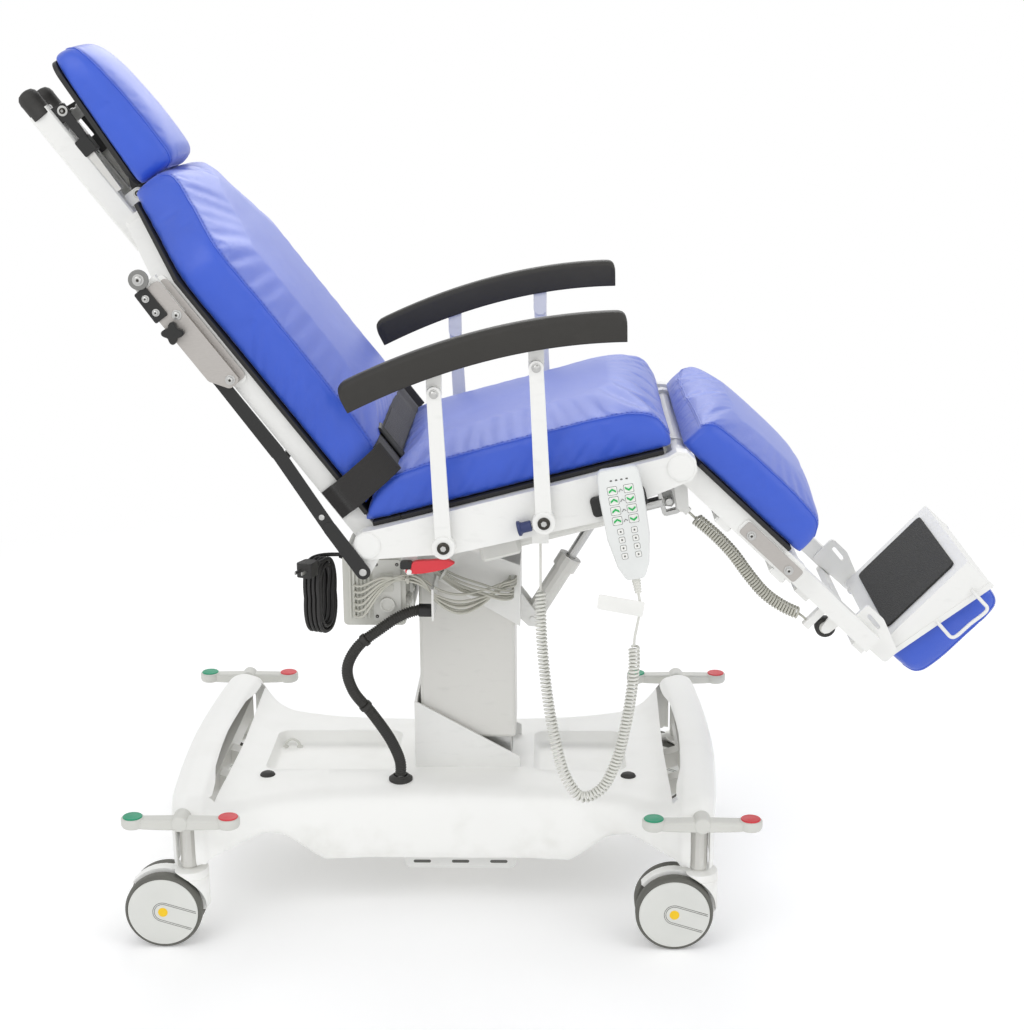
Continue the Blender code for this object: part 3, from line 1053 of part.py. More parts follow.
start = on_set(0.1123, 0.0)
drop = on_set(0.150, 0.0)
curl_marks = [(drop[0], 0.0, drop[1]), (0.1990, 0.001, 0.505), (0.1900, 0.002, 0.420),
              (0.1740, 0.002, 0.335),
              (0.1480, 0.0, 0.276), (0.1200, -0.004, 0.262), (0.0960, -0.012, 0.292),
              (0.0780, -0.025, 0.360),
              (0.0640, -0.045, 0.440), (0.0540, -0.065, 0.520), (0.0490, -0.079, 0.580)]
curl_route = [(x, -SET_Y - out, z) for x, out, z in curl_marks]
CURL_D = 0.0050
wire = curls(curl_route, 20, 0.0068, 0.004)
wire = [Vector(three(start, -SET_Y)), Vector(three(on_set(0.1170, 0.0), -SET_Y))] + wire[1:-1]
wire += [Vector((CORD_TOP[0], CORD_TOP[1], 0.600)), Vector((CORD_TOP[0], CORD_TOP[1], 0.664 - GAP))]
least_gap("handset_cord", wire, CURL_D)
piece("handset_cord", tube(wire, CURL_D / 2, 1), (PALE, 0.5, 0.0), tuple(wire[0]))

coil_route = [three(on_leg(s, h), COIL_Y) for s, h in ((0.094, -0.0540), (0.135, -0.0505),
                                                       (0.200, -0.0500),
                                                       (0.260, -0.0525), (0.3245, -0.0520))]
wire = curls(coil_route, 9, 0.0068, 0.004)
wire[0] = Vector(three(on_leg(COIL_S[0] + GAP, -0.0540), COIL_Y))
wire[-1] = Vector(three(on_leg(COIL_S[1] - GAP, -0.0520), COIL_Y))
least_gap("leg_coil_cord", wire, CURL_D)
piece("leg_coil_cord", tube(wire, CURL_D / 2, 1), (PALE, 0.5, 0.0), tuple(wire[0]))

plug_at = strands[-1]
plug = rod(plug_at + Vector((-GAP, 0, 0)), plug_at + Vector((-0.018, 0, 0)), 0.0050, 10, 0.0095)
blade = [box((plug_at.x - 0.062, plug_at.x - 0.040), (plug_at.y + w - 0.001, plug_at.y + w + 0.001),
             (plug_at.z - 0.003, plug_at.z + 0.003))
         for w in (-0.006, 0.006)]
grip_block = box((plug_at.x - 0.044, plug_at.x - 0.014), (plug_at.y - 0.014, plug_at.y + 0.014),
                 (plug_at.z - 0.012, plug_at.z + 0.012), 0.004, 1)
piece("power_plug", plug, (BLACK, 0.5, 0.0), tuple(plug_at), [grip_block] + blade)

for obj in list(cutters.objects):
    used = any(m.object is obj for p in parts.objects for m in p.modifiers if m.type == "BOOLEAN")
    if not used:
        bpy.data.objects.remove(obj, do_unlink=True)
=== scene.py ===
"""Visual scene of a powered procedure chair: upholstery, skins, fittings, cords and finishes.

Metres, +Z up, +X to the foot end of the chair, -Y to the camera.
"""
from __future__ import annotations

import logging
import math
from dataclasses import dataclass
from enum import Enum
from typing import Any, Iterable, Sequence, Union

import bmesh
import bpy
from mathutils import Matrix, Vector, noise
from mathutils.bvhtree import BVHTree
from mathutils.kdtree import KDTree

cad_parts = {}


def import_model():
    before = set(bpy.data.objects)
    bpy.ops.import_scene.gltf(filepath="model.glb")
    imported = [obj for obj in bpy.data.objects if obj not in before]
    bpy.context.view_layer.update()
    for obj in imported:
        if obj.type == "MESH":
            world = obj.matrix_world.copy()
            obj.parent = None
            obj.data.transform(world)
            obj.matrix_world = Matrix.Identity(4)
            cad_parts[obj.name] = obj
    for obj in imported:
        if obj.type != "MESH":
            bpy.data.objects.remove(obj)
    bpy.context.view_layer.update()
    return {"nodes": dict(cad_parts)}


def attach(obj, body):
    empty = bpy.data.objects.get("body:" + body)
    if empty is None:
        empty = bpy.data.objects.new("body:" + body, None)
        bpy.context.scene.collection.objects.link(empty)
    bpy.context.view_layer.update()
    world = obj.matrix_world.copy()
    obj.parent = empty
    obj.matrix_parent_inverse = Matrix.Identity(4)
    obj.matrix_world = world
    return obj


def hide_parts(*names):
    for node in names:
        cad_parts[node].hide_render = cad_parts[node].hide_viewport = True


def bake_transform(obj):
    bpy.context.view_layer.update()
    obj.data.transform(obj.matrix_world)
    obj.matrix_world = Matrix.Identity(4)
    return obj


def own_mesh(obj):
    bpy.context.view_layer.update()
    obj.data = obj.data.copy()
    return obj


LOG = logging.getLogger("chair")
Point = Sequence[float]
Value = Union["Term", float, Sequence[float]]


class Body(str, Enum):
    """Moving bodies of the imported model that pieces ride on."""

    BASE = "base"
    HEAD = "head_of_column"
    SEAT = "seat"
    BACK = "back"
    STAY = "back_stay"
    HEADREST = "headrest"
    LEG = "leg"
    CARRIAGE = "foot_carriage"
    FOOT = "foot_board"
    ROLLER = "guide_roller"
    RELEASE = "release"


class Hand(Enum):
    """Sides of the chair, with the sign of y."""

    RIGHT = -1
    LEFT = 1

    @property
    def word(self) -> str:
        """The side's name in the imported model."""
        return self.name.lower()


class End(Enum):
    """Ends of the base, with the sign of x."""

    REAR = -1
    FRONT = 1

    @property
    def word(self) -> str:
        """The end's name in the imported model."""
        return self.name.lower()


# Shader terms


class Term:
    """One output socket of a shader, with arithmetic that adds nodes."""

    def __init__(self, graph: Graph, socket: bpy.types.NodeSocket) -> None:
        """Hold a socket of a graph."""
        self.graph = graph
        self.socket = socket

    def _math(self, kind: str, first: Value, second: Value) -> Term:
        """Add one Math node on two values."""
        return self.graph.node("ShaderNodeMath", {"operation": kind}, {0: first, 1: second})

    def __add__(self, other: Value) -> Term:
        """Sum of two values."""
        return self._math("ADD", self, other)

    def __radd__(self, other: Value) -> Term:
        """Sum with a plain number on the left."""
        return self._math("ADD", other, self)

    def __sub__(self, other: Value) -> Term:
        """Difference of two values."""
        return self._math("SUBTRACT", self, other)

    def __rsub__(self, other: Value) -> Term:
        """Difference from a plain number."""
        return self._math("SUBTRACT", other, self)

    def __mul__(self, other: Value) -> Term:
        """Product of two values."""
        return self._math("MULTIPLY", self, other)

    def __rmul__(self, other: Value) -> Term:
        """Product with a plain number on the left."""
        return self._math("MULTIPLY", other, self)

    def between(self, low: float, high: float) -> Term:
        """Smooth step of the value from 0 at low to 1 at high."""
        return self.graph.node("ShaderNodeMapRange", {"interpolation_type": "SMOOTHSTEP"},
                               {"Value": self, "From Min": low, "From Max": high})


class Graph:
    """A material with its Principled shader and the nodes that feed it."""

    def __init__(self, name: str) -> None:
        """Make an empty material of this name.

        Args:
            name: the material's name.
        """
        self.material = bpy.data.materials.new(name)
        self.material.use_nodes = True
        self.tree = self.material.node_tree
        self.shader = self.tree.nodes["Principled BSDF"]

    def feed(self, socket: bpy.types.NodeSocket, value: Value) -> None:
        """Link a term to an input socket, or set the socket's own value.

        Args:
            socket: the input.
            value: a term, a number or a colour.
        """
        if isinstance(value, Term):
            self.tree.links.new(value.socket, socket)
        else:
            socket.default_value = value

    def node(self, kind: str, settings: dict[str, Any] | None = None,
             inputs: dict[str | int, Value] | None = None, output: str | int = 0) -> Term:
        """Add a node of any type.

        Args:
            kind: the node's type name.
            settings: properties that are set before its inputs.
            inputs: values or terms for its input sockets.
            output: the output socket that is wanted.

        Returns:
            The chosen output.
        """
        made = self.tree.nodes.new(kind)
        for key, value in (settings or {}).items():
            setattr(made, key, value)
        for key, value in (inputs or {}).items():
            self.feed(made.inputs[key], value)
        return Term(self, made.outputs[output])

    def place(self, stretch: Point = (1.0, 1.0, 1.0), source: str = "Object") -> Term:
        """Coordinates of the piece, multiplied along each axis."""
        raw = self.node("ShaderNodeTexCoord", output=source)
        return self.node("ShaderNodeVectorMath", {"operation": "MULTIPLY"}, {0: raw, 1: tuple(stretch)})

    def axis(self, name: str, source: str = "Object") -> Term:
        """One coordinate of the piece."""
        raw = self.node("ShaderNodeTexCoord", output=source)
        return self.node("ShaderNodeSeparateXYZ", inputs={0: raw}, output=name)

    def noise(self, scale: float, detail: float = 3.0, stretch: Point = (1.0, 1.0, 1.0)) -> Term:
        """Soft noise over the piece, about 0 to 1."""
        return self.node("ShaderNodeTexNoise", inputs={"Vector": self.place(stretch), "Scale": scale,
                                                       "Detail": detail})

    def cells(self, scale: float, feature: str = "DISTANCE_TO_EDGE") -> Term:
        """Distance pattern of small cells."""
        return self.node("ShaderNodeTexVoronoi", {"feature": feature},
                         {"Vector": self.place(), "Scale": scale})

    def bands(self, scale: float, axis: str, source: str = "Object") -> Term:
        """Sine bands across one axis."""
        return self.node("ShaderNodeTexWave", {"bands_direction": axis},
                         {"Vector": self.place(source=source), "Scale": scale})

    def mix(self, share: Value, first: Value, second: Value) -> Term:
        """Blend of two colours."""
        return self.node("ShaderNodeMix", {"data_type": "RGBA"}, {0: share, 6: first, 7: second}, 2)

    def bump(self, height: Term, depth: float, under: Term | None = None) -> Term:
        """Bumped normal from a height of 0 to 1 times a depth in metres.

        Args:
            height: the height.
            depth: the depth.
            under: a coarser normal below it.

        Returns:
            The normal.
        """
        inputs: dict[str | int, Value] = {"Height": height, "Distance": depth}
        if under is not None:
            inputs["Normal"] = under
        return self.node("ShaderNodeBump", inputs=inputs)

    def surface(self, **inputs: Value) -> None:
        """Feed the Principled shader; words in a name are joined by underscores."""
        for key, value in inputs.items():
            self.feed(self.shader.inputs[key.replace("_", " ")], value)


def linear(colour: Sequence[int], level: float = 1.0) -> tuple[float, float, float, float]:
    """Linear colour from sRGB steps of 0 to 255, times a level.

    Args:
        colour: steps of red, green and blue.
        level: factor on all three.

    Returns:
        Red, green, blue and an alpha of 1.
    """
    out = []
    for step in colour:
        share = step / 255
        out.append(level * (share / 12.92 if share <= 0.04045 else ((share + 0.055) / 1.055) ** 2.4))
    return (out[0], out[1], out[2], 1.0)


# Finishes


@dataclass(frozen=True)
class Finish:
    """A surface finish with a colour in sRGB steps and a roughness."""

    name: str
    colour: tuple[int, int, int]
    rough: float = 0.45

    def material(self) -> bpy.types.Material:
        """The finish's material, made once.

        Returns:
            The material.
        """
        found = bpy.data.materials.get(f"{self.name}_finish")
        if found is None:
            graph = Graph(f"{self.name}_finish")
            self.dress(graph)
            found = graph.material
        return found

    def tint(self, graph: Graph, share: Value, level: float) -> Term:
        """The finish's colour, darker or paler by a level where share is 1."""
        return graph.mix(share, linear(self.colour), linear(self.colour, level))

    def dress(self, graph: Graph) -> None:
        """Plain moulded surface with faint mottling and a fine grain.

        Args:
            graph: the material that takes them.
        """
        cloud = graph.noise(9.0).between(0.35, 0.75)
        grain = graph.noise(1500.0, 2.0)
        graph.surface(Base_Color=self.tint(graph, cloud, 0.92),
                      Roughness=self.rough - 0.05 + 0.1 * graph.noise(60.0),
                      Normal=graph.bump(grain, 0.00012))


@dataclass(frozen=True)
class Powder(Finish):
    """Powder-coated metal: orange peel and faint handling marks."""

    def dress(self, graph: Graph) -> None:
        """Fine peel in the normal, soft clouds in colour and gloss.

        Args:
            graph: the material that takes them.
        """
        peel = graph.noise(700.0, 2.0)
        rub = graph.noise(30.0, 4.0, (1.0, 1.0, 2.5)).between(0.55, 0.8)
        graph.surface(Base_Color=self.tint(graph, rub, 0.94),
                      Roughness=self.rough + 0.1 * graph.noise(45.0) - 0.05,
                      Normal=graph.bump(peel, 0.00018), Coat_Weight=0.15, Coat_Roughness=0.3)


@dataclass(frozen=True)
class Moulding(Finish):
    """Moulded cover: stipple, and faint greyer blotches, stronger low down and a little in the trays, so it
    is darker towards the bottom.
    """

    dust: tuple[int, int, int] = (222, 221, 214)

    def dress(self, graph: Graph) -> None:
        """Stipple in the normal; greyer blotches by noise in the colour, stronger below 0.2 m.

        Args:
            graph: the material that takes them.
        """
        # Greyer blotches everywhere, much stronger below 0.2 m, so the cover is darker towards the bottom.
        low = 1.0 - graph.axis("Z").between(0.12, 0.2)
        low_blotches = graph.noise(14.0, 5.0).between(0.45, 0.8) * (0.12 + 0.4 * low)
        graph.surface(Base_Color=graph.mix(low_blotches, linear(self.colour), linear(self.dust)),
                      Roughness=self.rough + 0.14 * graph.noise(24.0) - 0.05,
                      Normal=graph.bump(graph.noise(1100.0, 2.0), 0.00016))


@dataclass(frozen=True)
class Vinyl(Finish):
    """Upholstery vinyl: pebbled grain, soft creases and a broad sheen."""

    def dress(self, graph: Graph) -> None:
        """Creases under a pebbled grain; worn places are paler and smoother.

        Args:
            graph: the material that takes them.
        """
        worn = graph.noise(5.0, 3.0).between(0.4, 0.75)
        crease = graph.noise(16.0, 4.0, (1.0, 0.45, 1.0))
        grain = graph.cells(620.0).between(0.0, 0.09)
        soft = graph.bump(crease, 0.0022)
        graph.surface(Base_Color=self.tint(graph, worn, 1.1),
                      Roughness=self.rough + 0.1 * graph.noise(90.0) - 0.08 * worn,
                      Normal=graph.bump(grain, 0.0001, soft), Sheen_Weight=0.2, Sheen_Roughness=0.48,
                      Coat_Weight=0.42, Coat_Roughness=0.36)


@dataclass(frozen=True)
class Metal(Finish):
    """Bare metal with fine brushing."""

    stretch: tuple[float, float, float] = (1.0, 1.0, 14.0)

    def dress(self, graph: Graph) -> None:
        """Brushed streaks in gloss and normal.

        Args:
            graph: the material that takes them.
        """
        streak = graph.noise(160.0, 4.0, self.stretch)
        graph.surface(Base_Color=self.tint(graph, streak, 0.82), Metallic=1.0,
                      Roughness=self.rough + 0.16 * streak - 0.05, Normal=graph.bump(streak, 0.00008))


@dataclass(frozen=True)
class Foam(Finish):
    """Skinned foam of the armrests: fine leather print, worn a little on top."""

    def dress(self, graph: Graph) -> None:
        """Pebbled print with paler rubbed places.

        Args:
            graph: the material that takes them.
        """
        pebble = graph.cells(480.0).between(0.0, 0.12)
        rub = graph.noise(12.0, 4.0).between(0.5, 0.8)
        graph.surface(Base_Color=self.tint(graph, rub, 1.25),
                      Roughness=self.rough + 0.12 * graph.noise(50.0) - 0.05,
                      Normal=graph.bump(pebble, 0.00012))


@dataclass(frozen=True)
class Rubber(Finish):
    """Rubber: matt, dusty, with a fine speckle."""

    def dress(self, graph: Graph) -> None:
        """Speckle and dust.

        Args:
            graph: the material that takes them.
        """
        dust = graph.noise(35.0, 5.0).between(0.45, 0.8)
        graph.surface(Base_Color=self.tint(graph, dust, 1.22),
                      Roughness=self.rough + 0.1 * graph.noise(200.0),
                      Normal=graph.bump(graph.noise(900.0, 3.0), 0.0002))


@dataclass(frozen=True)
class Webbing(Finish):
    """Woven strap: crossing ribs from the strip's own map."""

    pitch: float = 0.0022

    def dress(self, graph: Graph) -> None:
        """Weft ribs along the strap and warp ribs across it.

        Args:
            graph: the material that takes them.
        """
        warp = graph.bands(0.314 / self.pitch, "X", "UV")
        weft = graph.bands(0.2 / self.pitch, "Y", "UV")
        weave = 0.6 * warp + 0.4 * weft
        graph.surface(Base_Color=self.tint(graph, weave, 1.4), Roughness=self.rough + 0.12 * weave,
                      Normal=graph.bump(weave, 0.00035), Sheen_Weight=0.15)


@dataclass(frozen=True)
class Grit(Finish):
    """Coarse grip sheet with glinting grains."""

    def dress(self, graph: Graph) -> None:
        """Coarse grains in colour and normal.

        Args:
            graph: the material that takes them.
        """
        grains = graph.cells(430.0, "F1")
        graph.surface(Base_Color=self.tint(graph, grains.between(0.25, 0.7), 2.3),
                      Roughness=self.rough, Normal=graph.bump(grains, 0.0007))


WHITE = Powder("white_coat", (237, 237, 234), 0.42)
COVER = Moulding("white_cover", (249, 249, 246), 0.45)
GREY = Powder("grey_coat", (222, 221, 216), 0.38)
PALE = Finish("pale_plastic", (214, 214, 208), 0.45)
SHELL = Finish("grey_shell", (206, 206, 198), 0.48)
BLUE = Vinyl("blue_vinyl", (38, 83, 201), 0.42)
THREAD = Finish("blue_thread", (30, 48, 150), 0.6)
CHARCOAL = Foam("charcoal_foam", (37, 35, 31), 0.55)
BLACK = Finish("black_satin", (24, 24, 23), 0.46)
BOARD = Finish("black_board", (26, 25, 25), 0.6)
DARK = Rubber("dark_rubber", (44, 43, 41), 0.58)
TYRE = Rubber("grey_tyre", (98, 98, 92), 0.62)
DISC = Finish("pale_disc", (224, 225, 220), 0.42)
STEEL = Metal("bright_steel", (200, 200, 198), 0.28)
SCREW = Metal("dark_screw", (70, 68, 64), 0.34)
SILVER = Metal("silver_plate", (190, 186, 182), 0.46)
EYE = Metal("grey_eye", (142, 142, 140), 0.4)
STRAP = Webbing("black_webbing", (27, 25, 24), 0.66)
GRIT = Grit("grip_sheet", (34, 34, 33), 0.85)
RED = Finish("red_plastic", (214, 52, 62), 0.4)
GREEN = Finish("green_plastic", (20, 152, 112), 0.42)
KEY_GREEN = Finish("green_print", (6, 176, 84), 0.5)
REMOTE = Finish("remote_shell", (231, 233, 231), 0.44)
DRIVE = Finish("drive_shell", (226, 226, 221), 0.46)
AMBER = Finish("yellow_plastic", (250, 205, 20), 0.45)
NAVY = Finish("navy_plastic", (40, 52, 98), 0.4)
CORD_GREY = Finish("grey_jacket", (196, 195, 184), 0.5)
CORD_PALE = Finish("pale_jacket", (222, 222, 215), 0.48)
CORD_BLACK = Finish("black_jacket", (36, 35, 34), 0.48)
HOSE = Rubber("black_hose", (40, 39, 36), 0.5)
LINE = Finish("dark_line", (96, 96, 92), 0.55)
PAPER = Finish("blank_tag", (240, 240, 236), 0.55)


# Shapes


class Frame2:
    """A tilted frame of the side view: along a direction, and above it."""

    def __init__(self, origin: Point, degrees: float, flip: bool = False) -> None:
        """Place the frame.

        Args:
            origin: x and z of its zero point.
            degrees: direction of along, from +X towards +Z.
            flip: whether above lies clockwise of along.
        """
        self.origin = Vector((origin[0], 0.0, origin[1]))
        turn = math.radians(degrees)
        self.along = Vector((math.cos(turn), 0.0, math.sin(turn)))
        rise = Vector((-math.sin(turn), 0.0, math.cos(turn)))
        self.above = -rise if flip else rise

    def at(self, along: float, above: float, y: float = 0.0) -> Vector:
        """A point of the frame at a distance from the middle plane."""
        return self.origin + self.along * along + self.above * above + Vector((0.0, y, 0.0))

    def flat(self, along: float, above: float) -> tuple[float, float]:
        """The x and z of a point of the frame."""
        point = self.at(along, above)
        return (point.x, point.z)

    def outline(self, corners: Iterable[Point]) -> list[tuple[float, float]]:
        """The x and z of several points of the frame."""
        return [self.flat(along, above) for along, above in corners]

    def plate(self, along: Point, above: Point, radius: float, count: int = 6) -> list[tuple[float, float]]:
        """Rectangle of the frame with round corners, in x and z."""
        return round_corners(self.outline(box_corners(along, above)), radius, count)


BACK_PIVOT = (-0.219, 0.667)
KNEE_PIVOT = (0.262, 0.79)
SEAT = Frame2(BACK_PIVOT, math.degrees(math.atan2(KNEE_PIVOT[1] - BACK_PIVOT[1],
                                                  KNEE_PIVOT[0] - BACK_PIVOT[0])))
LEG = Frame2(KNEE_PIVOT, -43.5)
BACK = Frame2(BACK_PIVOT, 127.5, True)
HEAD = Frame2(BACK.flat(0.65, 0.03), 123.0, True)
PAD = Frame2(LEG.flat(0.4665, 0.0), 46.5, True)
SET = Frame2((0.179, 0.712), -80.0)
BASE_X = -0.11
BASE_HALF = 0.412
STEM_Y = 0.29
DECK_Z = 0.213
PEDAL_Z = 0.228
COLUMN_X = -0.078
SET_Y = 0.32
LEAD_PORT = (-0.10475, 0.6)
LOOM_PORT = (-0.116, 0.586)
UP = (0, 0, 1)
CRISP = 38.0
POINTED = 0.00005


def spline(points: Iterable[Point], parts: int) -> list[Vector]:
    """Smooth curve through points, even where their spacing is uneven.

    Args:
        points: points that the curve passes through.
        parts: steps between two neighbouring points.

    Returns:
        Points on the curve, the given ones among them.
    """
    route = [Vector(p) for p in points]
    route = [2 * route[0] - route[1]] + route + [2 * route[-1] - route[-2]]
    out: list[Vector] = []
    for a, b, c, d in zip(route, route[1:], route[2:], route[3:]):
        before, here, after = ((q - p).length ** 0.5 + 1e-6 for p, q in ((a, b), (b, c), (c, d)))
        first = c - b + here * ((b - a) / before - (c - a) / (before + here))
        last = c - b + here * ((d - c) / after - (d - b) / (here + after))
        for k in range(parts):
            s = k / parts
            out.append(b + first * s - (3 * (b - c) + 2 * first + last) * s ** 2
                       + (2 * (b - c) + first + last) * s ** 3)
    return out + [route[-2]]


def smooth(points: Iterable[Point], count: int) -> list[Vector]:
    """Points at even distances along a smooth curve through a route.

    Args:
        points: points that the curve passes through.
        count: how many points are wanted.

    Returns:
        The points, from end to end.
    """
    fine = spline(points, 24)
    run = [0.0]
    for p, q in zip(fine, fine[1:]):
        run.append(run[-1] + (q - p).length)
    out: list[Vector] = []
    k = 0
    for i in range(count):
        want = run[-1] * i / (count - 1)
        while k < len(run) - 2 and run[k + 1] < want:
            k += 1
        share = (want - run[k]) / max(run[k + 1] - run[k], 1e-9)
        out.append(fine[k].lerp(fine[k + 1], min(share, 1.0)))
    return out


def fair(rings: Sequence[Sequence[Point]], along: int, around: int) -> list[list[Vector]]:
    """Finer sections: each ring is smoothed, then each of its points along the rings.

    Args:
        rings: the coarse sections.
        along: steps between two rings.
        around: steps between two points of a ring.

    Returns:
        The finer sections.
    """
    fine = [spline(ring, around) for ring in rings]
    columns = [spline(column, along) for column in zip(*fine)]
    return [list(ring) for ring in zip(*columns)]


def arc(centre: Point, radius: float, start: float, end: float, count: int = 12) -> list[tuple[float, float]]:
    """Points on a circle, angles in degrees."""
    steps = [math.radians(start + (end - start) * i / (count - 1)) for i in range(count)]
    return [(centre[0] + radius * math.cos(a), centre[1] + radius * math.sin(a)) for a in steps]


def bar_outline(p: Point, q: Point, rp: float, rq: float, count: int = 14) -> list[tuple[float, float]]:
    """Outline of a bar with round ends of two radii about two points.

    Args:
        p: middle of one end.
        q: middle of the other end.
        rp: radius about p.
        rq: radius about q.
        count: points of each end.

    Returns:
        Points of the outline.
    """
    turn = math.atan2(q[1] - p[1], q[0] - p[0])
    lean = math.acos((rp - rq) / math.hypot(q[0] - p[0], q[1] - p[1]))
    a0, a1 = math.degrees(turn + lean), math.degrees(turn + 2 * math.pi - lean)
    return arc(p, rp, a0, a1, count) + arc(q, rq, a1 - 360, a0, count)


def round_corners(corners: Sequence[Point], radius: float, count: int = 6) -> list[tuple[float, float]]:
    """An outline with each of its corners rounded.

    Args:
        corners: its sharp corners in order.
        radius: radius of each corner.
        count: points of each corner.

    Returns:
        Points of the outline.
    """
    out = []
    for i, corner in enumerate(corners):
        here = Vector(corner)
        before = (Vector(corners[i - 1]) - here).normalized()
        after = (Vector(corners[(i + 1) % len(corners)]) - here).normalized()
        half = before.angle(after) / 2
        centre = here + (before + after).normalized() * radius / math.sin(half)
        first = here + before * radius / math.tan(half) - centre
        last = here + after * radius / math.tan(half) - centre
        spread = first.angle_signed(last)
        for k in range(count):
            out.append(tuple(centre + Matrix.Rotation(-spread * k / (count - 1), 2) @ first))
    return out


def box_corners(u: Point, v: Point) -> list[tuple[float, float]]:
    """Corners of a rectangle between pairs of coordinates."""
    return [(u[0], v[0]), (u[1], v[0]), (u[1], v[1]), (u[0], v[1])]


def oblong(u: Point, v: Point, radius: float, count: int = 6) -> list[tuple[float, float]]:
    """Rectangle with round corners between pairs of coordinates."""
    return round_corners(box_corners(u, v), radius, count)


class Shape:
    """A mesh under construction in the chair's frame, with a finish for each face."""

    def __init__(self, *finishes: Finish) -> None:
        """Start an empty shape; the first finish is used until another is chosen."""
        self.bm = bmesh.new()
        self.map = self.bm.loops.layers.uv.new("strip")
        self.finishes = list(finishes)
        self.index = 0

    def use(self, finish: Finish) -> Shape:
        """Choose the finish of the faces that come next.

        Args:
            finish: the finish.

        Returns:
            This shape.
        """
        if finish not in self.finishes:
            self.finishes.append(finish)
        self.index = self.finishes.index(finish)
        return self

    def _face(self, verts: Sequence[bmesh.types.BMVert]) -> bmesh.types.BMFace:
        """Add a face in the finish that is in use.

        Args:
            verts: its corners in order.

        Returns:
            The face.
        """
        made = self.bm.faces.new(verts)
        made.material_index = self.index
        return made

    def loft(self, rings: Sequence[Sequence[Point]], caps: bool = True, closed: bool = True,
             reach: Sequence[float] | None = None) -> Shape:
        """Skin over sections with the same number of points.

        Args:
            rings: the sections from one end to the other.
            caps: whether both ends are filled.
            closed: whether each section is a closed ring.
            reach: distances of the rings for the strip's map.

        Returns:
            This shape.
        """
        rows = [[self.bm.verts.new(p) for p in ring] for ring in rings]
        count = len(rows[0])
        for j in range(len(rows) - 1):
            for i in range(count if closed else count - 1):
                k = (i + 1) % count
                made = self._face((rows[j][i], rows[j][k], rows[j + 1][k], rows[j + 1][i]))
                if reach is not None:
                    marks = ((i, j), (i + 1, j), (i + 1, j + 1), (i, j + 1))
                    for loop, (a, b) in zip(made.loops, marks):
                        loop[self.map].uv = (reach[b], a * 0.002)
        if caps and closed:
            self._face(rows[0])
            self._face(list(reversed(rows[-1])))
        return self

    @staticmethod
    def ring(mid: Vector, one: Vector, two: Vector, radius: float, sides: int) -> list[Vector]:
        """Circle of points about a middle, in the plane of two directions."""
        turns = [2 * math.pi * k / sides for k in range(sides)]
        return [mid + (one * math.cos(a) + two * math.sin(a)) * radius for a in turns]

    def tube(self, points: Sequence[Point], radius: float, sides: int = 12,
             radii: Sequence[float] | None = None) -> Shape:
        """Round tube along points, with an optional radius at each.

        Args:
            points: its middle line.
            radius: its radius.
            sides: corners of its section.
            radii: a radius at each point, where it varies.

        Returns:
            This shape.
        """
        route = [Vector(p) for p in points]
        normal = (route[1] - route[0]).orthogonal().normalized()
        rings = []
        for i, p in enumerate(route):
            way = (route[min(i + 1, len(route) - 1)] - route[max(i - 1, 0)]).normalized()
            normal = (normal - way * normal.dot(way)).normalized()
            size = radii[i] if radii is not None else radius
            rings.append(self.ring(p, normal, way.cross(normal), size, sides))
        return self.loft(rings)

    def lathe(self, profile: Sequence[tuple[float, float]], centre: Point, axis: Point,
              sides: int = 32) -> Shape:
        """Turned solid: pairs of radius and distance along an axis through a centre.

        Args:
            profile: the pairs.
            centre: zero point of the axis.
            axis: direction of the axis.
            sides: corners of each ring.

        Returns:
            This shape.
        """
        way = Vector(axis).normalized()
        one = way.orthogonal().normalized()
        two = way.cross(one)
        mid = Vector(centre)
        return self.loft([self.ring(mid + way * along, one, two, max(radius, POINTED), sides)
                          for radius, along in profile])

    def prism(self, outline: Sequence[tuple[float, float]], low: float, high: float,
              axis: str = "Y") -> Shape:
        """Flat outline with a thickness: in the side view between two y, or in plan between two z.

        Args:
            outline: points of the outline.
            low: place of one face.
            high: place of the other face.
            axis: Y for the side view, Z for the plan.

        Returns:
            This shape.
        """
        if axis == "Y":
            rings = [[(u, y, v) for u, v in outline] for y in (low, high)]
        else:
            rings = [[(u, v, z) for u, v in outline] for z in (low, high)]
        return self.loft(rings)

    def slab(self, outline: Sequence[tuple[float, float]], side: int, inner: float, outer: float) -> Shape:
        """Flat side-view outline on one side, between two distances from the middle plane."""
        low, high = sorted((side * inner, side * outer))
        return self.prism(outline, low, high)

    def block(self, x: Point, y: Point, z: Point) -> Shape:
        """Block between pairs of coordinates."""
        return self.prism(box_corners(x, y), z[0], z[1], "Z")

    def across(self, point: Point, y0: float, y1: float, radius: float, sides: int = 24) -> Shape:
        """Round bar along y at a point of the side view."""
        return self.lathe([(radius, 0.0), (radius, abs(y1 - y0))], (point[0], y0, point[1]),
                          (0.0, math.copysign(1.0, y1 - y0), 0.0), sides)

    def screw(self, centre: Point, axis: Point, radius: float = 0.006) -> Shape:
        """Button-head screw with a hex socket.

        Args:
            centre: middle of its seat.
            axis: direction of its head.
            radius: radius of its head.

        Returns:
            This shape.
        """
        before = self.index
        self.use(SCREW)
        self.lathe([(radius, 0.0), (radius * 0.98, 0.35 * radius), (radius * 0.72, 0.62 * radius),
                    (radius * 0.46, 0.68 * radius)], centre, axis, 20)
        self.use(STEEL)
        top = Vector(centre) + Vector(axis).normalized() * radius * 0.66
        self.lathe([(radius * 0.44, 0.0), (radius * 0.4, 0.06 * radius), (radius * 0.2, 0.02 * radius)],
                   top, axis, 6)
        self.index = before
        return self

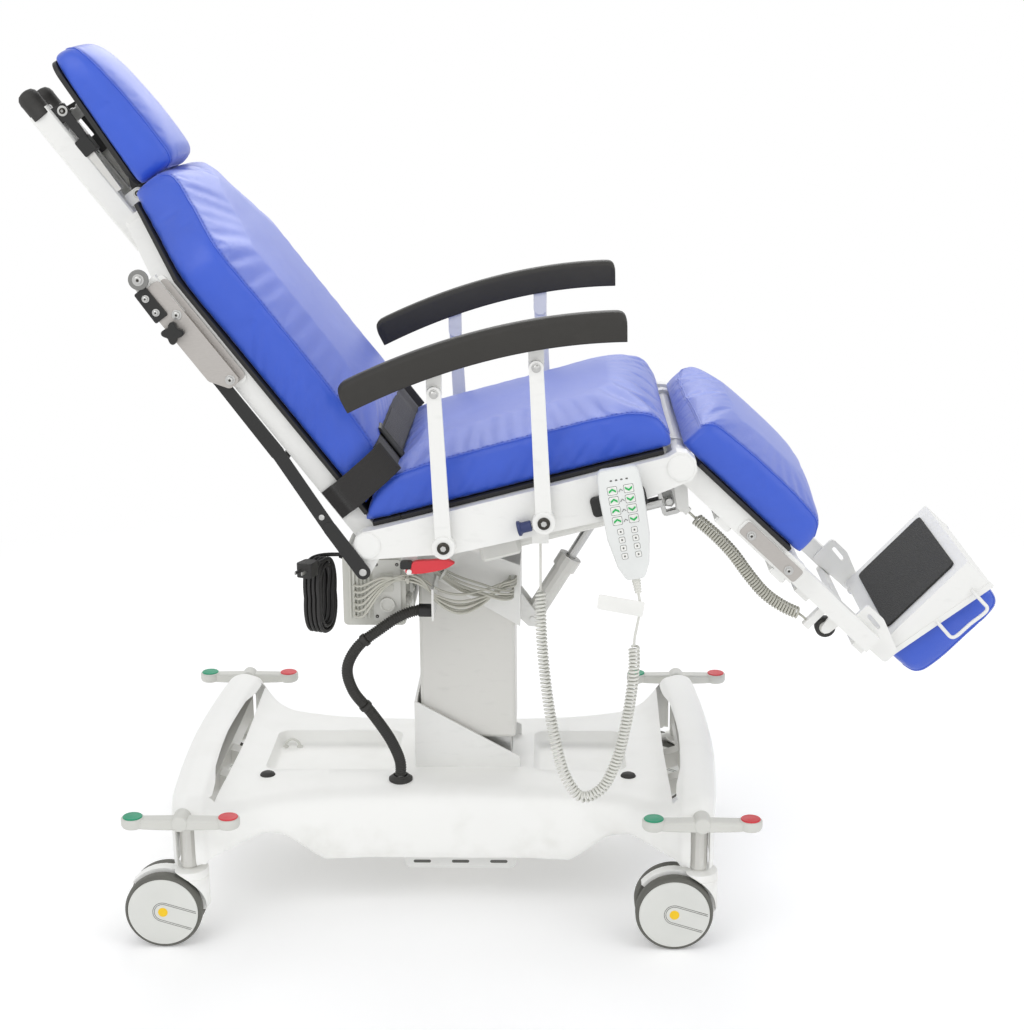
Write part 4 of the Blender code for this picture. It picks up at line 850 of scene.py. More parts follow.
    def loose(self, name: str) -> bpy.types.Object:
        """Turn the shape into an object that rides on nothing yet.

        Args:
            name: the object's name.

        Returns:
            The object.
        """
        bmesh.ops.recalc_face_normals(self.bm, faces=self.bm.faces)
        mesh = bpy.data.meshes.new(name)
        self.bm.to_mesh(mesh)
        self.bm.free()
        for finish in self.finishes:
            mesh.materials.append(finish.material())
        obj = bpy.data.objects.new(name, mesh)
        bpy.context.scene.collection.objects.link(obj)
        return obj

    def piece(self, name: str, body: Body | str | None, slot: str, bevel: float = 0.0,
              replaces: Sequence[str] = (), angle: float = CRISP,
              cuts: Sequence[Shape] = ()) -> bpy.types.Object:
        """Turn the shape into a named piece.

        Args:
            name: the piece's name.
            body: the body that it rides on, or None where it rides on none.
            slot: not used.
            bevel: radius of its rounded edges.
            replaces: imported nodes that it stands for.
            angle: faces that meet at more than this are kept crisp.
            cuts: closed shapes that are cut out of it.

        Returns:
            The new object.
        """
        obj = self.loose(name)
        for cut in cuts:
            step = obj.modifiers.new("cut", "BOOLEAN")
            step.operation = "DIFFERENCE"
            step.solver = "EXACT"
            step.object = cut.loose("cut")
        if cuts:
            bake(obj)
        obj.data.shade_smooth()
        obj.data.set_sharp_from_angle(angle=math.radians(angle))
        if bevel:
            soften(obj, bevel, angle)
        settle(obj, body, replaces)
        return obj


def bake(obj: bpy.types.Object) -> None:
    """Apply an object's modifiers and drop the objects that cut it.

    Args:
        obj: the object.
    """
    tools = [step.object for step in obj.modifiers if step.type == "BOOLEAN"]
    bpy.context.view_layer.update()
    seen = obj.evaluated_get(bpy.context.evaluated_depsgraph_get())
    mesh = bpy.data.meshes.new_from_object(seen)
    obj.modifiers.clear()
    obj.data = mesh
    for tool in tools:
        bpy.data.objects.remove(tool, do_unlink=True)


def soften(obj: bpy.types.Object, width: float, angle: float = CRISP) -> None:
    """Round an object's crisp edges with a bevel.

    Args:
        obj: the object.
        width: width of the bevel.
        angle: edges sharper than this are rounded, in degrees.
    """
    edge = obj.modifiers.new("edges", "BEVEL")
    edge.width = width
    edge.segments = 3
    edge.limit_method = "ANGLE"
    edge.angle_limit = math.radians(angle)
    edge.harden_normals = True


def settle(obj: bpy.types.Object, body: Body | str | None, replaces: Sequence[str]) -> None:
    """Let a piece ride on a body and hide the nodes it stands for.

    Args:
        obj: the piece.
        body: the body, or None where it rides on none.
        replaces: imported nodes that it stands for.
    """
    if body is not None:
        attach(obj, body.value if isinstance(body, Body) else body)
    if replaces:
        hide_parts(*replaces)
    LOG.info("piece %s", obj.name)


# Studio


@dataclass
class Studio:
    """Camera, floor, backdrop and soft lights."""

    eye: tuple[float, float, float] = (0.077, -3.0323, 1.4424)
    lens: float = 64.66
    floor_half: float = 30.0
    lamps: tuple[tuple[tuple[float, float, float], float, float], ...] = (
        ((-1.6, -2.2, 3.0), 2.4, 26.0), ((2.2, -1.6, 2.6), 2.2, 18.0), ((0.0, 2.4, 2.8), 2.4, 34.0),
        ((0.3, -3.4, 1.3), 1.6, 4.0))

    def camera(self) -> None:
        """The photograph's camera."""
        data = bpy.data.cameras.new("camera")
        data.lens = self.lens
        data.sensor_width = 36.0
        data.dof.use_dof = False
        obj = bpy.data.objects.new("camera", data)
        right = Vector((0.999677, 0.024551, -0.006501))
        down = Vector((0.0, -0.255959, -0.966688))
        ahead = right.cross(down)
        turn = Matrix((right, -down, -ahead)).transposed().to_4x4()
        obj.matrix_world = Matrix.Translation(self.eye) @ turn
        bpy.context.scene.collection.objects.link(obj)
        bpy.context.scene.camera = obj

    def floor(self) -> None:
        """A wide pale floor."""
        graph = Graph("floor")
        cloud = graph.noise(1.5).between(0.3, 0.8)
        spot = graph.node("ShaderNodeVectorMath", {"operation": "LENGTH"}, {0: graph.place()}, "Value")
        far = spot.between(0.6, 2.6)
        pale = graph.mix(far, (0.9, 0.9, 0.9, 1.0), (0.0, 0.0, 0.0, 1.0))
        graph.surface(Base_Color=graph.mix(cloud * (1 - far), pale, (0.88, 0.88, 0.88, 1.0)), Roughness=0.9,
                      Emission_Color=graph.mix(far, (0.22, 0.22, 0.22, 1.0), (1.0, 1.0, 1.0, 1.0)),
                      Emission_Strength=1.0, Specular_IOR_Level=0.0)
        mesh = bpy.data.meshes.new("floor")
        span = (-self.floor_half, self.floor_half)
        mesh.from_pydata([(x, y, 0.0) for x, y in box_corners(span, span)], [], [(0, 1, 2, 3)])
        mesh.materials.append(graph.material)
        obj = bpy.data.objects.new("floor", mesh)
        bpy.context.scene.collection.objects.link(obj)

    def backdrop(self) -> None:
        """White where the camera looks past the chair, a soft grey sky for the light."""
        world = bpy.data.worlds.new("studio")
        bpy.context.scene.world = world
        world.use_nodes = True
        tree = world.node_tree
        sky = tree.nodes["Background"]
        sky.inputs["Color"].default_value = (0.98, 0.985, 1.0, 1.0)
        sky.inputs["Strength"].default_value = 0.66
        white = tree.nodes.new("ShaderNodeBackground")
        white.inputs["Color"].default_value = (1.0, 1.0, 1.0, 1.0)
        white.inputs["Strength"].default_value = 1.0
        path = tree.nodes.new("ShaderNodeLightPath")
        mix = tree.nodes.new("ShaderNodeMixShader")
        seen = path.outputs["Is Camera Ray"]
        for kind in ("Is Glossy Ray", "Is Transmission Ray"):
            either = tree.nodes.new("ShaderNodeMath")
            either.operation = "MAXIMUM"
            tree.links.new(seen, either.inputs[0])
            tree.links.new(path.outputs[kind], either.inputs[1])
            seen = either.outputs[0]
        tree.links.new(seen, mix.inputs[0])
        tree.links.new(sky.outputs[0], mix.inputs[1])
        tree.links.new(white.outputs[0], mix.inputs[2])
        tree.links.new(mix.outputs[0], tree.nodes["World Output"].inputs[0])

    def lights(self) -> None:
        """Large area lights about the chair."""
        for i, (place, size, power) in enumerate(self.lamps):
            data = bpy.data.lights.new(f"lamp_{i}", "AREA")
            data.shape = "DISK"
            data.size = size
            data.energy = power
            obj = bpy.data.objects.new(f"lamp_{i}", data)
            obj.location = place
            obj.rotation_euler = (Vector((0.0, 0.0, 0.6)) - Vector(place)).to_track_quat("-Z", "Y").to_euler()
            bpy.context.scene.collection.objects.link(obj)

    def build(self) -> None:
        """Set the whole studio up."""
        self.camera()
        self.floor()
        self.backdrop()
        self.lights()
        bpy.context.scene.view_settings.view_transform = "Standard"


# Cords


@dataclass
class Cables:
    """Every cord: mains lead, handset cord, leg coil, cable bundle and ribbed hose."""

    lead: float = 0.0066
    curl: float = 0.004
    curls: int = 104
    coils: int = 46
    strands: int = 6
    fanned: int = 6
    hose_r: float = 0.0094

    @staticmethod
    def helix(route: Sequence[Point], turns: int, radius: float, per_turn: int) -> list[Vector]:
        """Helix about a route that grows out of the route's line over half a turn at both ends.

        Args:
            route: points of its axis.
            turns: number of curls.
            radius: radius of the curls.
            per_turn: points of a curl.

        Returns:
            Points of the helix.
        """
        steps = turns * per_turn
        axis = smooth(route, steps + 1)
        normal = (axis[1] - axis[0]).orthogonal().normalized()
        out = []
        for i, p in enumerate(axis):
            way = (axis[min(i + 1, steps)] - axis[max(i - 1, 0)]).normalized()
            normal = (normal - way * normal.dot(way)).normalized()
            grow = min(1.0, 2.0 * i / per_turn, 2.0 * (steps - i) / per_turn)
            turn = 2 * math.pi * i / per_turn
            out.append(p + (normal * math.cos(turn) + way.cross(normal) * math.sin(turn)) * radius * grow)
        return out

    @staticmethod
    def measure(points: Sequence[Vector]) -> float:
        """Length of a route."""
        return sum((q - p).length for p, q in zip(points, points[1:]))

    def hang(self, name: str, points: list[Vector], size: float, finish: Finish, body: Body | None,
             node: str, slot: str, sides: int = 12,
             radii: Sequence[float] | None = None) -> bpy.types.Object:
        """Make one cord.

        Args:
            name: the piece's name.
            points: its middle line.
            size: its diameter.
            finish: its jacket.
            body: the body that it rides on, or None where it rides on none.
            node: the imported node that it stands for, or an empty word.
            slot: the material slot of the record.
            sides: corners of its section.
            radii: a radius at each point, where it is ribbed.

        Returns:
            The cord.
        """
        made = Shape(finish).tube(points, size / 2, sides, radii)
        obj = made.piece(name, body, slot, replaces=(node,) if node else (), angle=70.0)
        tuple(points[0])
        [tuple(p) for p in points]
        return obj

    def handset_cord(self) -> None:
        """Curly cord from the handset, down and up again to the seat frame."""
        route = [(0.1925, -0.321, 0.516), (0.1935, -0.321, 0.49), (0.1895, -0.322, 0.44),
                 (0.181, -0.322, 0.385), (0.167, -0.322, 0.325), (0.143, -0.32, 0.277),
                 (0.113, -0.316, 0.262), (0.088, -0.308, 0.292), (0.069, -0.295, 0.36), (0.056, -0.275, 0.44),
                 (0.049, -0.255, 0.52), (0.048, -0.241, 0.58)]
        line = self.helix(route, self.curls, 0.0073, 14)
        start = [SET.at(along, 0.0, -SET_Y) for along in (0.1123, 0.12, 0.135)]
        line = start + [Vector((0.1985, -0.3205, 0.555)), Vector((0.194, -0.321, 0.532))] + line
        line += [Vector((0.048, -0.238, z)) for z in (0.6, 0.622, 0.644, 0.6637)]
        self.hang("handset_curl", line, self.curl, CORD_PALE, Body.SEAT, "handset_cord", "pale_jacket",
                  8)

    def leg_coil(self) -> None:
        """Stretched coil cord under the leg rest, between its frame and the sliding foot frame."""
        y = -0.1955
        route = [tuple(LEG.at(s, h, y)) for s, h in ((0.094, -0.054), (0.13, -0.052), (0.175, -0.054),
                                                     (0.22, -0.062), (0.262, -0.0665), (0.298, -0.0615),
                                                     (0.3245, -0.053))]
        line = self.helix(route, self.coils, 0.0086, 14)
        line = [LEG.at(0.0788, -0.054, y), LEG.at(0.086, -0.054, y)] + line
        line += [LEG.at(0.332, -0.052, y), LEG.at(0.3397, -0.052, y)]
        obj = self.hang("leg_curl", line, self.curl, CORD_GREY, None, "leg_coil_cord", "pale_jacket",
                        8)
        tuple(line[2])
        tuple(line[-3])
        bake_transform(obj)

    def hose(self) -> None:
        """Ribbed hose from the base cover's grommet to the column head."""
        foot = Vector((-0.19, -0.132, 0.2223))
        top = Vector((-0.13, -0.163, 0.522))
        route = smooth([foot, (-0.19, -0.132, 0.243), (-0.203, -0.142, 0.285), (-0.232, -0.158, 0.34),
                        (-0.262, -0.168, 0.385), (-0.27, -0.172, 0.425), (-0.252, -0.173, 0.462),
                        (-0.212, -0.171, 0.494), (-0.182, -0.167, 0.513), (-0.154, -0.163, 0.522), top], 421)
        ribs = [self.hose_r * (1.0, 1.0, 0.84, 0.84)[i % 4] for i in range(len(route))]
        for band in (150, 290):
            ribs[band:band + 8] = [self.hose_r * 1.16] * 8
        obj = self.hang("column_hose", route, 2 * self.hose_r, HOSE, None, "cable_hose", "cord_jacket",
                        20, ribs)
        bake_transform(obj)
        cap = Shape(BLACK)
        cap.lathe([(0.0092, -0.022), (0.0108, -0.021), (0.0108, -0.002), (0.01, 0.0), (0.005, 0.0008)], top,
                  route[-1] - route[-4], 28)
        cap.piece("hose_cap", Body.HEAD, "cord_jacket", 0.0006)

    def bundle(self) -> None:
        """Thin cables from the control box to the column head, tied once."""
        route = [(-0.161, *LOOM_PORT), (-0.1433, *LOOM_PORT), (-0.125, -0.118, 0.579),
                 (-0.085, -0.119, 0.557), (-0.05, -0.117, 0.545), (-0.02, -0.11, 0.535),
                 (-0.004, -0.099, 0.531), (0.0, -0.091, 0.53), (0.0, -0.0738, 0.53)]
        for i in range(self.strands):
            turn = 2 * math.pi * i / self.strands
            sag = 0.006 * (i % 3)
            line = []
            for k, p in enumerate(smooth(route, 36)):
                share = k / 35
                loose = math.sin(math.pi * share) * (1.0 + 0.5 * math.sin(5 * share + i))
                spread = 0.0042 + 0.003 * loose
                line.append(p + Vector((0.0, math.cos(turn + 2 * share) * spread,
                                        math.sin(turn + 2 * share) * spread - sag * loose)))
            self.hang(f"bundle_cable_{i}", line, 0.004, CORD_GREY, Body.HEAD,
                      "cable_loom" if i == 0 else "", "pale_jacket", 8)
        tie = Shape(PALE)
        mid = smooth(route, 36)[9]
        ahead = smooth(route, 36)[10]
        tie.lathe([(0.012, -0.002), (0.0132, -0.002), (0.0132, 0.002), (0.012, 0.002)], mid, ahead - mid)
        tie.piece("bundle_tie", Body.HEAD, "pale_jacket", 0.0004)

    def fan(self) -> None:
        """Cables from the face of the control box, tied at its edge, then drooping to the column head."""
        for i in range(self.fanned):
            row, column = divmod(i, 3)
            side, rise = 0.005 * (row - 0.5), 0.005 * (column - 1)
            z, low = 0.562 - 0.0105 * i, 0.0055 * ((i * 2) % 5)
            route = [(-0.256, -0.1478, z), (-0.256, -0.157, z), (-0.244, -0.1635, z + 0.001),
                     (-0.208, -0.1665 + side, 0.569 + 0.4 * (z - 0.536)),
                     (-0.168, -0.166 + side, 0.579 + rise), (-0.148, -0.164 + side, 0.572 + rise),
                     (-0.118, -0.154 + side, 0.548 + rise - low),
                     (-0.085, -0.14 + side, 0.536 + rise - 1.4 * low),
                     (-0.048, -0.122 + side, 0.538 + rise - low), (-0.018, -0.103, 0.544 + rise),
                     (-0.002 + 2 * side, -0.09, 0.547 + rise), (2 * side, -0.0738, 0.548 + rise)]
            self.hang(f"fan_cable_{i}", smooth(route, 40), 0.0042, CORD_GREY, Body.HEAD, "",
                      "pale_jacket", 8)
        tie = Shape(CORD_GREY)
        tie.lathe([(0.0092, -0.0022), (0.0106, -0.0022), (0.0106, 0.0022), (0.0092, 0.0022)],
                  (-0.168, -0.166, 0.579), (1.0, 0.05, 0.0), 28)
        tie.block((-0.1715, -0.1645), (-0.18, -0.1745), (0.5765, 0.5815))
        tie.piece("fan_tie", Body.HEAD, "pale_jacket", 0.0005)

    def mains(self) -> None:
        """Mains lead gathered in a hank behind the control box, with its plug."""
        low, high, wide, pitch, layer = 0.478, LEAD_PORT[1], 0.0325, 0.0085, 0.008
        lanes = [(0, 0), (1, 0), (1, 1), (0, 1), (0, 2), (1, 2), (1, 3), (0, 3), (0, 3)]
        turned, bend = math.radians(68.0), 0.032
        out = Vector((math.cos(turned), math.sin(turned), 0.0))
        deep = Vector((math.sin(turned), -math.cos(turned), 0.0))
        start = Vector((-0.2863, *LEAD_PORT))
        lead_in = [start, start + Vector((-0.011, 0.0, 0.0))]
        for k in range(1, 6):
            part = turned * k / 6
            lead_in.append(lead_in[1] - Vector((bend * math.sin(part), bend * (1 - math.cos(part)), 0.0)))
        first = lead_in[1] - Vector((bend * math.sin(turned), bend * (1 - math.cos(turned)), 0.0))
        mid = first + deep * (layer * 1.5) - Vector((0.0, 0.0, (high - low) / 2))
        loops, per = len(lanes) - 1, 40
        line = []
        for i in range(loops * per + 1):
            turn = i / per
            lane = min(int(turn), loops - 1)
            blend = min(max((turn - lane - 0.7) / 0.3, 0.0), 1.0)
            depth, rise = Vector(lanes[lane]).lerp(Vector(lanes[lane + 1]), blend * blend * (3 - 2 * blend))
            angle = 2 * math.pi * turn
            u, v = -math.sin(angle), math.cos(angle)
            waist = 1.0 - 0.16 * (1 - abs(v)) ** 2
            flat = math.copysign(abs(u) ** 0.75, u)
            line.append(mid + out * ((wide - pitch * depth) * flat * waist) + deep * (layer * (rise - 1.5))
                        + Vector((0.0, 0.0, ((high - low) / 2 - pitch * depth) * v)))
        line = lead_in + line
        last = line[-1]
        for reach in (0.006, 0.012, 0.018, 0.024):
            line.append(last - out * reach)
        end = line[-1]
        plug = Shape(CORD_BLACK, STEEL)
        plug.lathe([(0.0042, -0.0003), (0.0056, -0.007), (0.005, -0.009), (0.0064, -0.014), (0.0058, -0.016),
                    (0.008, -0.024)], end, out, 20)
        shell = round_corners([(-0.05, -0.014), (-0.02, -0.0115), (-0.02, 0.0115), (-0.05, 0.014)], 0.005)
        plug.loft([[end + out * a + deep * b + Vector((0.0, 0.0,
                                                       c)) for a, b in shell] for c in (-0.012, 0.012)])
        plug.use(STEEL)
        blade = box_corners((-0.066, -0.048), (-0.001, 0.001))
        for w in (-0.006, 0.006):
            plug.loft([[end + out * a + deep * (b + w) + Vector((0.0, 0.0, c)) for a, b in blade]
                       for c in (-0.003, 0.003)])
        knob = plug.piece("mains_plug", Body.HEAD, "cord_jacket", 0.0012, ("power_plug",))
        self.hang("mains_lead", line, self.lead, CORD_BLACK, Body.HEAD, "power_cord", "cord_jacket",
                  12)

    def build(self) -> None:
        """Make every cord."""
        self.handset_cord()
        self.leg_coil()
        self.hose()
        self.bundle()
        self.fan()
        self.mains()


# Base


@dataclass
class BaseCover:
    """Moulded cover of the base, with its trays, rubber plugs, grommet and eyelet."""

    wall: float = 0.006
    tray_half: float = 0.088
    notch_half: float = 0.0155
    notch_z: tuple[float, float] = (0.118, 0.205)
    trays: tuple[tuple[float, float], ...] = ((-0.425, -0.205), (0.035, 0.19))
    plugs: tuple[tuple[float, float], ...] = ((-0.418, -0.116), (0.194, -0.116))
    grommet: tuple[float, float] = (-0.19, -0.132)
    arch: tuple[tuple[float, float], ...] = (
        (0.0, 0.089), (0.17, 0.088), (0.196, 0.089), (0.214, 0.095), (0.23, 0.107),
        (0.246, 0.123), (0.262, 0.138), (0.28, 0.149), (0.302, 0.1535), (0.325, 0.15), (0.35, 0.142),
        (0.374, 0.135), (0.412, 0.132), (0.429, 0.134), (0.436, 0.143), (0.4375, 0.156))

    def sections(self, inset: float, lower: float) -> list[list[tuple[float, float, float]]]:
        """Sections across the cover from end to end.

        Args:
            inset: wall by which they shrink for the hollow inside.
            lower: how far the hollow stays under the deck.

        Returns:
            Rings of points, from one lower edge over the top to the other.
        """
        reach, wide = BASE_HALF, STEM_Y
        ends = ((reach + 0.0255, wide - 0.026, DECK_Z + 0.004, 1.0),
                (reach + 0.024, wide + 0.002, DECK_Z + 0.018, 1.0),
                (reach + 0.018, wide + 0.02, DECK_Z + 0.034, 1.0),
                (reach, wide + 0.026, DECK_Z + 0.039, 1.0),
                (reach - 0.018, wide + 0.022, DECK_Z + 0.037, 1.0),
                (reach - 0.036, wide + 0.01, DECK_Z + 0.028, 0.8),
                (reach - 0.054, wide - 0.008, DECK_Z + 0.012, 0.6),
                (reach - 0.082, wide - 0.04, DECK_Z + 0.001, 0.3),
                (reach - 0.136, wide - 0.077, DECK_Z, 0.0),
                (reach - 0.206, wide - 0.096, DECK_Z, 0.0),
                (0.0, wide - 0.111, DECK_Z, 0.0))
        half = ends if inset else [tuple(p) for p in spline(ends, 5)]
        rows = [(-u, w, top, -bow) for u, w, top, bow in half]
        rows += [(u, w, top, bow) for u, w, top, bow in reversed(half[:-1])]
        rings = []
        for u, w, top, bow in rows:
            low = self.edge(abs(u))
            x = BASE_X + u * (1 - inset / (reach + 0.0255))
            w -= inset
            top = min(top - inset, DECK_Z - lower) if inset and abs(u) < reach - 0.045 else top - inset
            low = low - 0.05 if inset else low
            tall = top - low
            side = [(w - 0.006, low), (w, low + 0.14 * tall), (w, top - min(0.036, 0.55 * tall)),
                    (w - 0.007, top - min(0.015, 0.25 * tall)), (w - 0.026, top - 0.003), (w - 0.055, top)]
            if inset:
                side = [(w, low), (w, top - 0.03), (w - 0.028, top)]
            ring = [(-y, z) for y, z in side] + [(0.0, top)] + list(reversed(side))
            curve = 0.0 if inset else 0.018 * bow
            rings.append([(x + curve * (1 - (y / w) ** 2), y, z) for y, z in ring])
        return rings

    def edge(self, reach: float) -> float:
        """Height of the lower edge at a distance from the middle of the base.

        Args:
            reach: the distance.

        Returns:
            The height.
        """
        for (u0, z0), (u1, z1) in zip(self.arch, self.arch[1:]):
            if reach <= u1:
                return z0 + (z1 - z0) * (reach - u0) / (u1 - u0)
        return self.arch[-1][1]

    def recess(self, x0: float, x1: float) -> Shape:
        """Cutter of one tray, with round corners and sloping walls.

        Args:
            x0: rear end of the tray.
            x1: front end of the tray.

        Returns:
            The closed shape.
        """
        rings = []
        for z, d in ((0.189, 0.01), (0.1915, 0.004), (0.197, 0.001), (0.213, -0.002),
                     (0.216, -0.006), (0.24, -0.03)):
            y = self.tray_half - d
            flat = oblong((x0 + d, x1 - d), (-y, y), 0.02)
            rings.append([(u, v, z) for u, v in flat])
        return Shape().loft(rings)

    def notch(self, x: float, side: int) -> Shape:
        """Cutter of the upright slot that shows a castor stem."""
        flat = oblong((x - self.notch_half, x + self.notch_half), self.notch_z, 0.006)
        return Shape().slab(flat, side, STEM_Y - 0.02, STEM_Y + 0.05)

    def shell(self) -> None:
        """The cover itself."""
        cuts = [Shape().loft(self.sections(self.wall, 0.038))]
        cuts += [self.recess(x0, x1) for x0, x1 in self.trays]
        cuts.append(Shape().block((COLUMN_X - 0.073, COLUMN_X + 0.073), (-0.058, 0.058), (0.12, 0.3)))
        for end in End:
            x = BASE_X + end.value * BASE_HALF
            cuts.append(Shape().across((x, PEDAL_Z), -0.34, 0.34, 0.0068))
            cuts += [self.notch(x, hand.value) for hand in Hand]
        skin = Shape(COVER).loft(fair(self.sections(0.0, 0.0), 1, 5))
        skin.piece("deck_cover", Body.BASE, "cover_plastic", 0.0016, ("base_cover",), 42.0, cuts)

    def fittings(self) -> None:
        """Plugs, hose grommet, a tie-down eyelet and the lip of the tray under the column."""
        small = Shape(DARK)
        for x, y in self.plugs:
            small.lathe([(0.013, -0.002), (0.013, 0.0012), (0.0112, 0.004), (0.007, 0.0062),
                         (0.0025, 0.0068)],
                        (x, y, DECK_Z), UP, 28)
        small.lathe([(0.0118, -0.004), (0.0118, 0.0085), (0.014, 0.0085), (0.0162, 0.006), (0.02, 0.0035),
                     (0.02, -0.002)], (*self.grommet, DECK_Z), UP, 36)
        small.piece("deck_rubber", Body.BASE, "cord_jacket")
        eye = Shape(PALE)
        loop = [(-0.402 + 0.013 * math.cos(a), 0.07, 0.19 + 0.014 * math.sin(a))
                for a in (math.pi * k / 14 for k in range(15))]
        eye.tube(loop, 0.0022, 10)
        for x in (-0.415, -0.389):
            eye.lathe([(0.0055, -0.001), (0.0055, 0.002), (0.003, 0.0035)], (x, 0.07, 0.189), UP, 18)
        eye.piece("tray_eyelet", Body.BASE, "pale_plastic", 0.0004)
        lip = Shape(WHITE)
        flat = oblong((-0.166, -0.014), (-0.148, 0.148), 0.01)
        lip.prism(flat, 0.0835, 0.0865, "Z")
        wall = oblong((-0.184, 0.004), (0.06, 0.0865), 0.01)
        for hand in Hand:
            lip.slab(wall, hand.value, 0.1476, 0.1505)
            # The slots are thin dark patches on the wall, not openings: painted shade of the slots.
            for x in (-0.155, -0.09, -0.025):
                slot = bar_outline((x - 0.012, 0.0715), (x + 0.012, 0.0715), 0.0028, 0.0028, 8)
                lip.use(LINE).slab(slot, hand.value, 0.15, 0.1507)
            lip.use(WHITE)
        lip.piece("under_tray", Body.BASE, "white_paint", 0.0008)

    def build(self) -> None:
        """Cover and fittings."""
        self.shell()
        self.fittings()


@dataclass
class BrakeBar:
    """Cross shaft at one end of the base with a rocking pedal on each side."""

    end: End
    reach: float = 0.076
    pad: float = 0.0185
    plane: float = 0.339

    def pedal(self, shape: Shape, x: float, side: int) -> None:
        """One pedal: two tapering arms, a hub, and a green and a red foot pad.

        Args:
            shape: the shape that takes it.
            x: place of the shaft.
            side: sign of y.
        """
        y = side * self.plane
        z = PEDAL_Z
        for way, colour in ((-1, GREEN), (1, RED)):
            shape.use(PALE)
            tip = x + way * self.reach
            rings = []
            for d, w, low, high in ((0.0, 0.0125, -0.012, 0.0066), (0.03, 0.0125, -0.0116, 0.006),
                                    (0.056, 0.0125, -0.0108, 0.0056), (0.07, 0.012, -0.0096, 0.0052)):
                rings.append([(x + way * d, y + v, z + h) for v, h in
                              ((-w, low + 0.003), (-w + 0.003, low), (w - 0.003, low), (w, low + 0.003),
                               (w, high - 0.003), (w - 0.003, high), (-w + 0.003, high), (-w, high - 0.003))])
            shape.loft(rings)
            shape.lathe([(self.pad - 0.006, -0.0108), (self.pad - 0.002, -0.009), (self.pad, -0.005),
                         (self.pad, 0.005), (self.pad - 0.001, 0.0066), (self.pad - 0.003, 0.007)],
                        (tip, y, z), UP, 40)
            shape.use(colour)
            shape.lathe([(self.pad - 0.0028, 0.0066), (self.pad - 0.003, 0.0086), (self.pad - 0.0048, 0.0092),
                         (self.pad - 0.009, 0.0086), (self.pad - 0.0105, 0.009), (0.002, 0.0092)],
                        (tip, y, z), UP, 40)
        shape.use(PALE)
        shape.lathe([(0.0125, -0.0205), (0.0138, -0.019), (0.0138, 0.011), (0.0118, 0.0138), (0.007, 0.0145)],
                    (x, y, z), (0, side, 0), 32)

    def build(self) -> None:
        """The bar, as one piece."""
        x = BASE_X + self.end.value * BASE_HALF
        shape = Shape(PALE)
        shape.use(STEEL).across((x, PEDAL_Z), -self.plane + 0.004, self.plane - 0.004, 0.006)
        for hand in Hand:
            self.pedal(shape, x, hand.value)
        shape.piece(f"{self.end.word}_pedals", f"brake_{self.end.word}", "pale_plastic", 0.0008,
                    (f"{self.end.word}_brake_bar",))


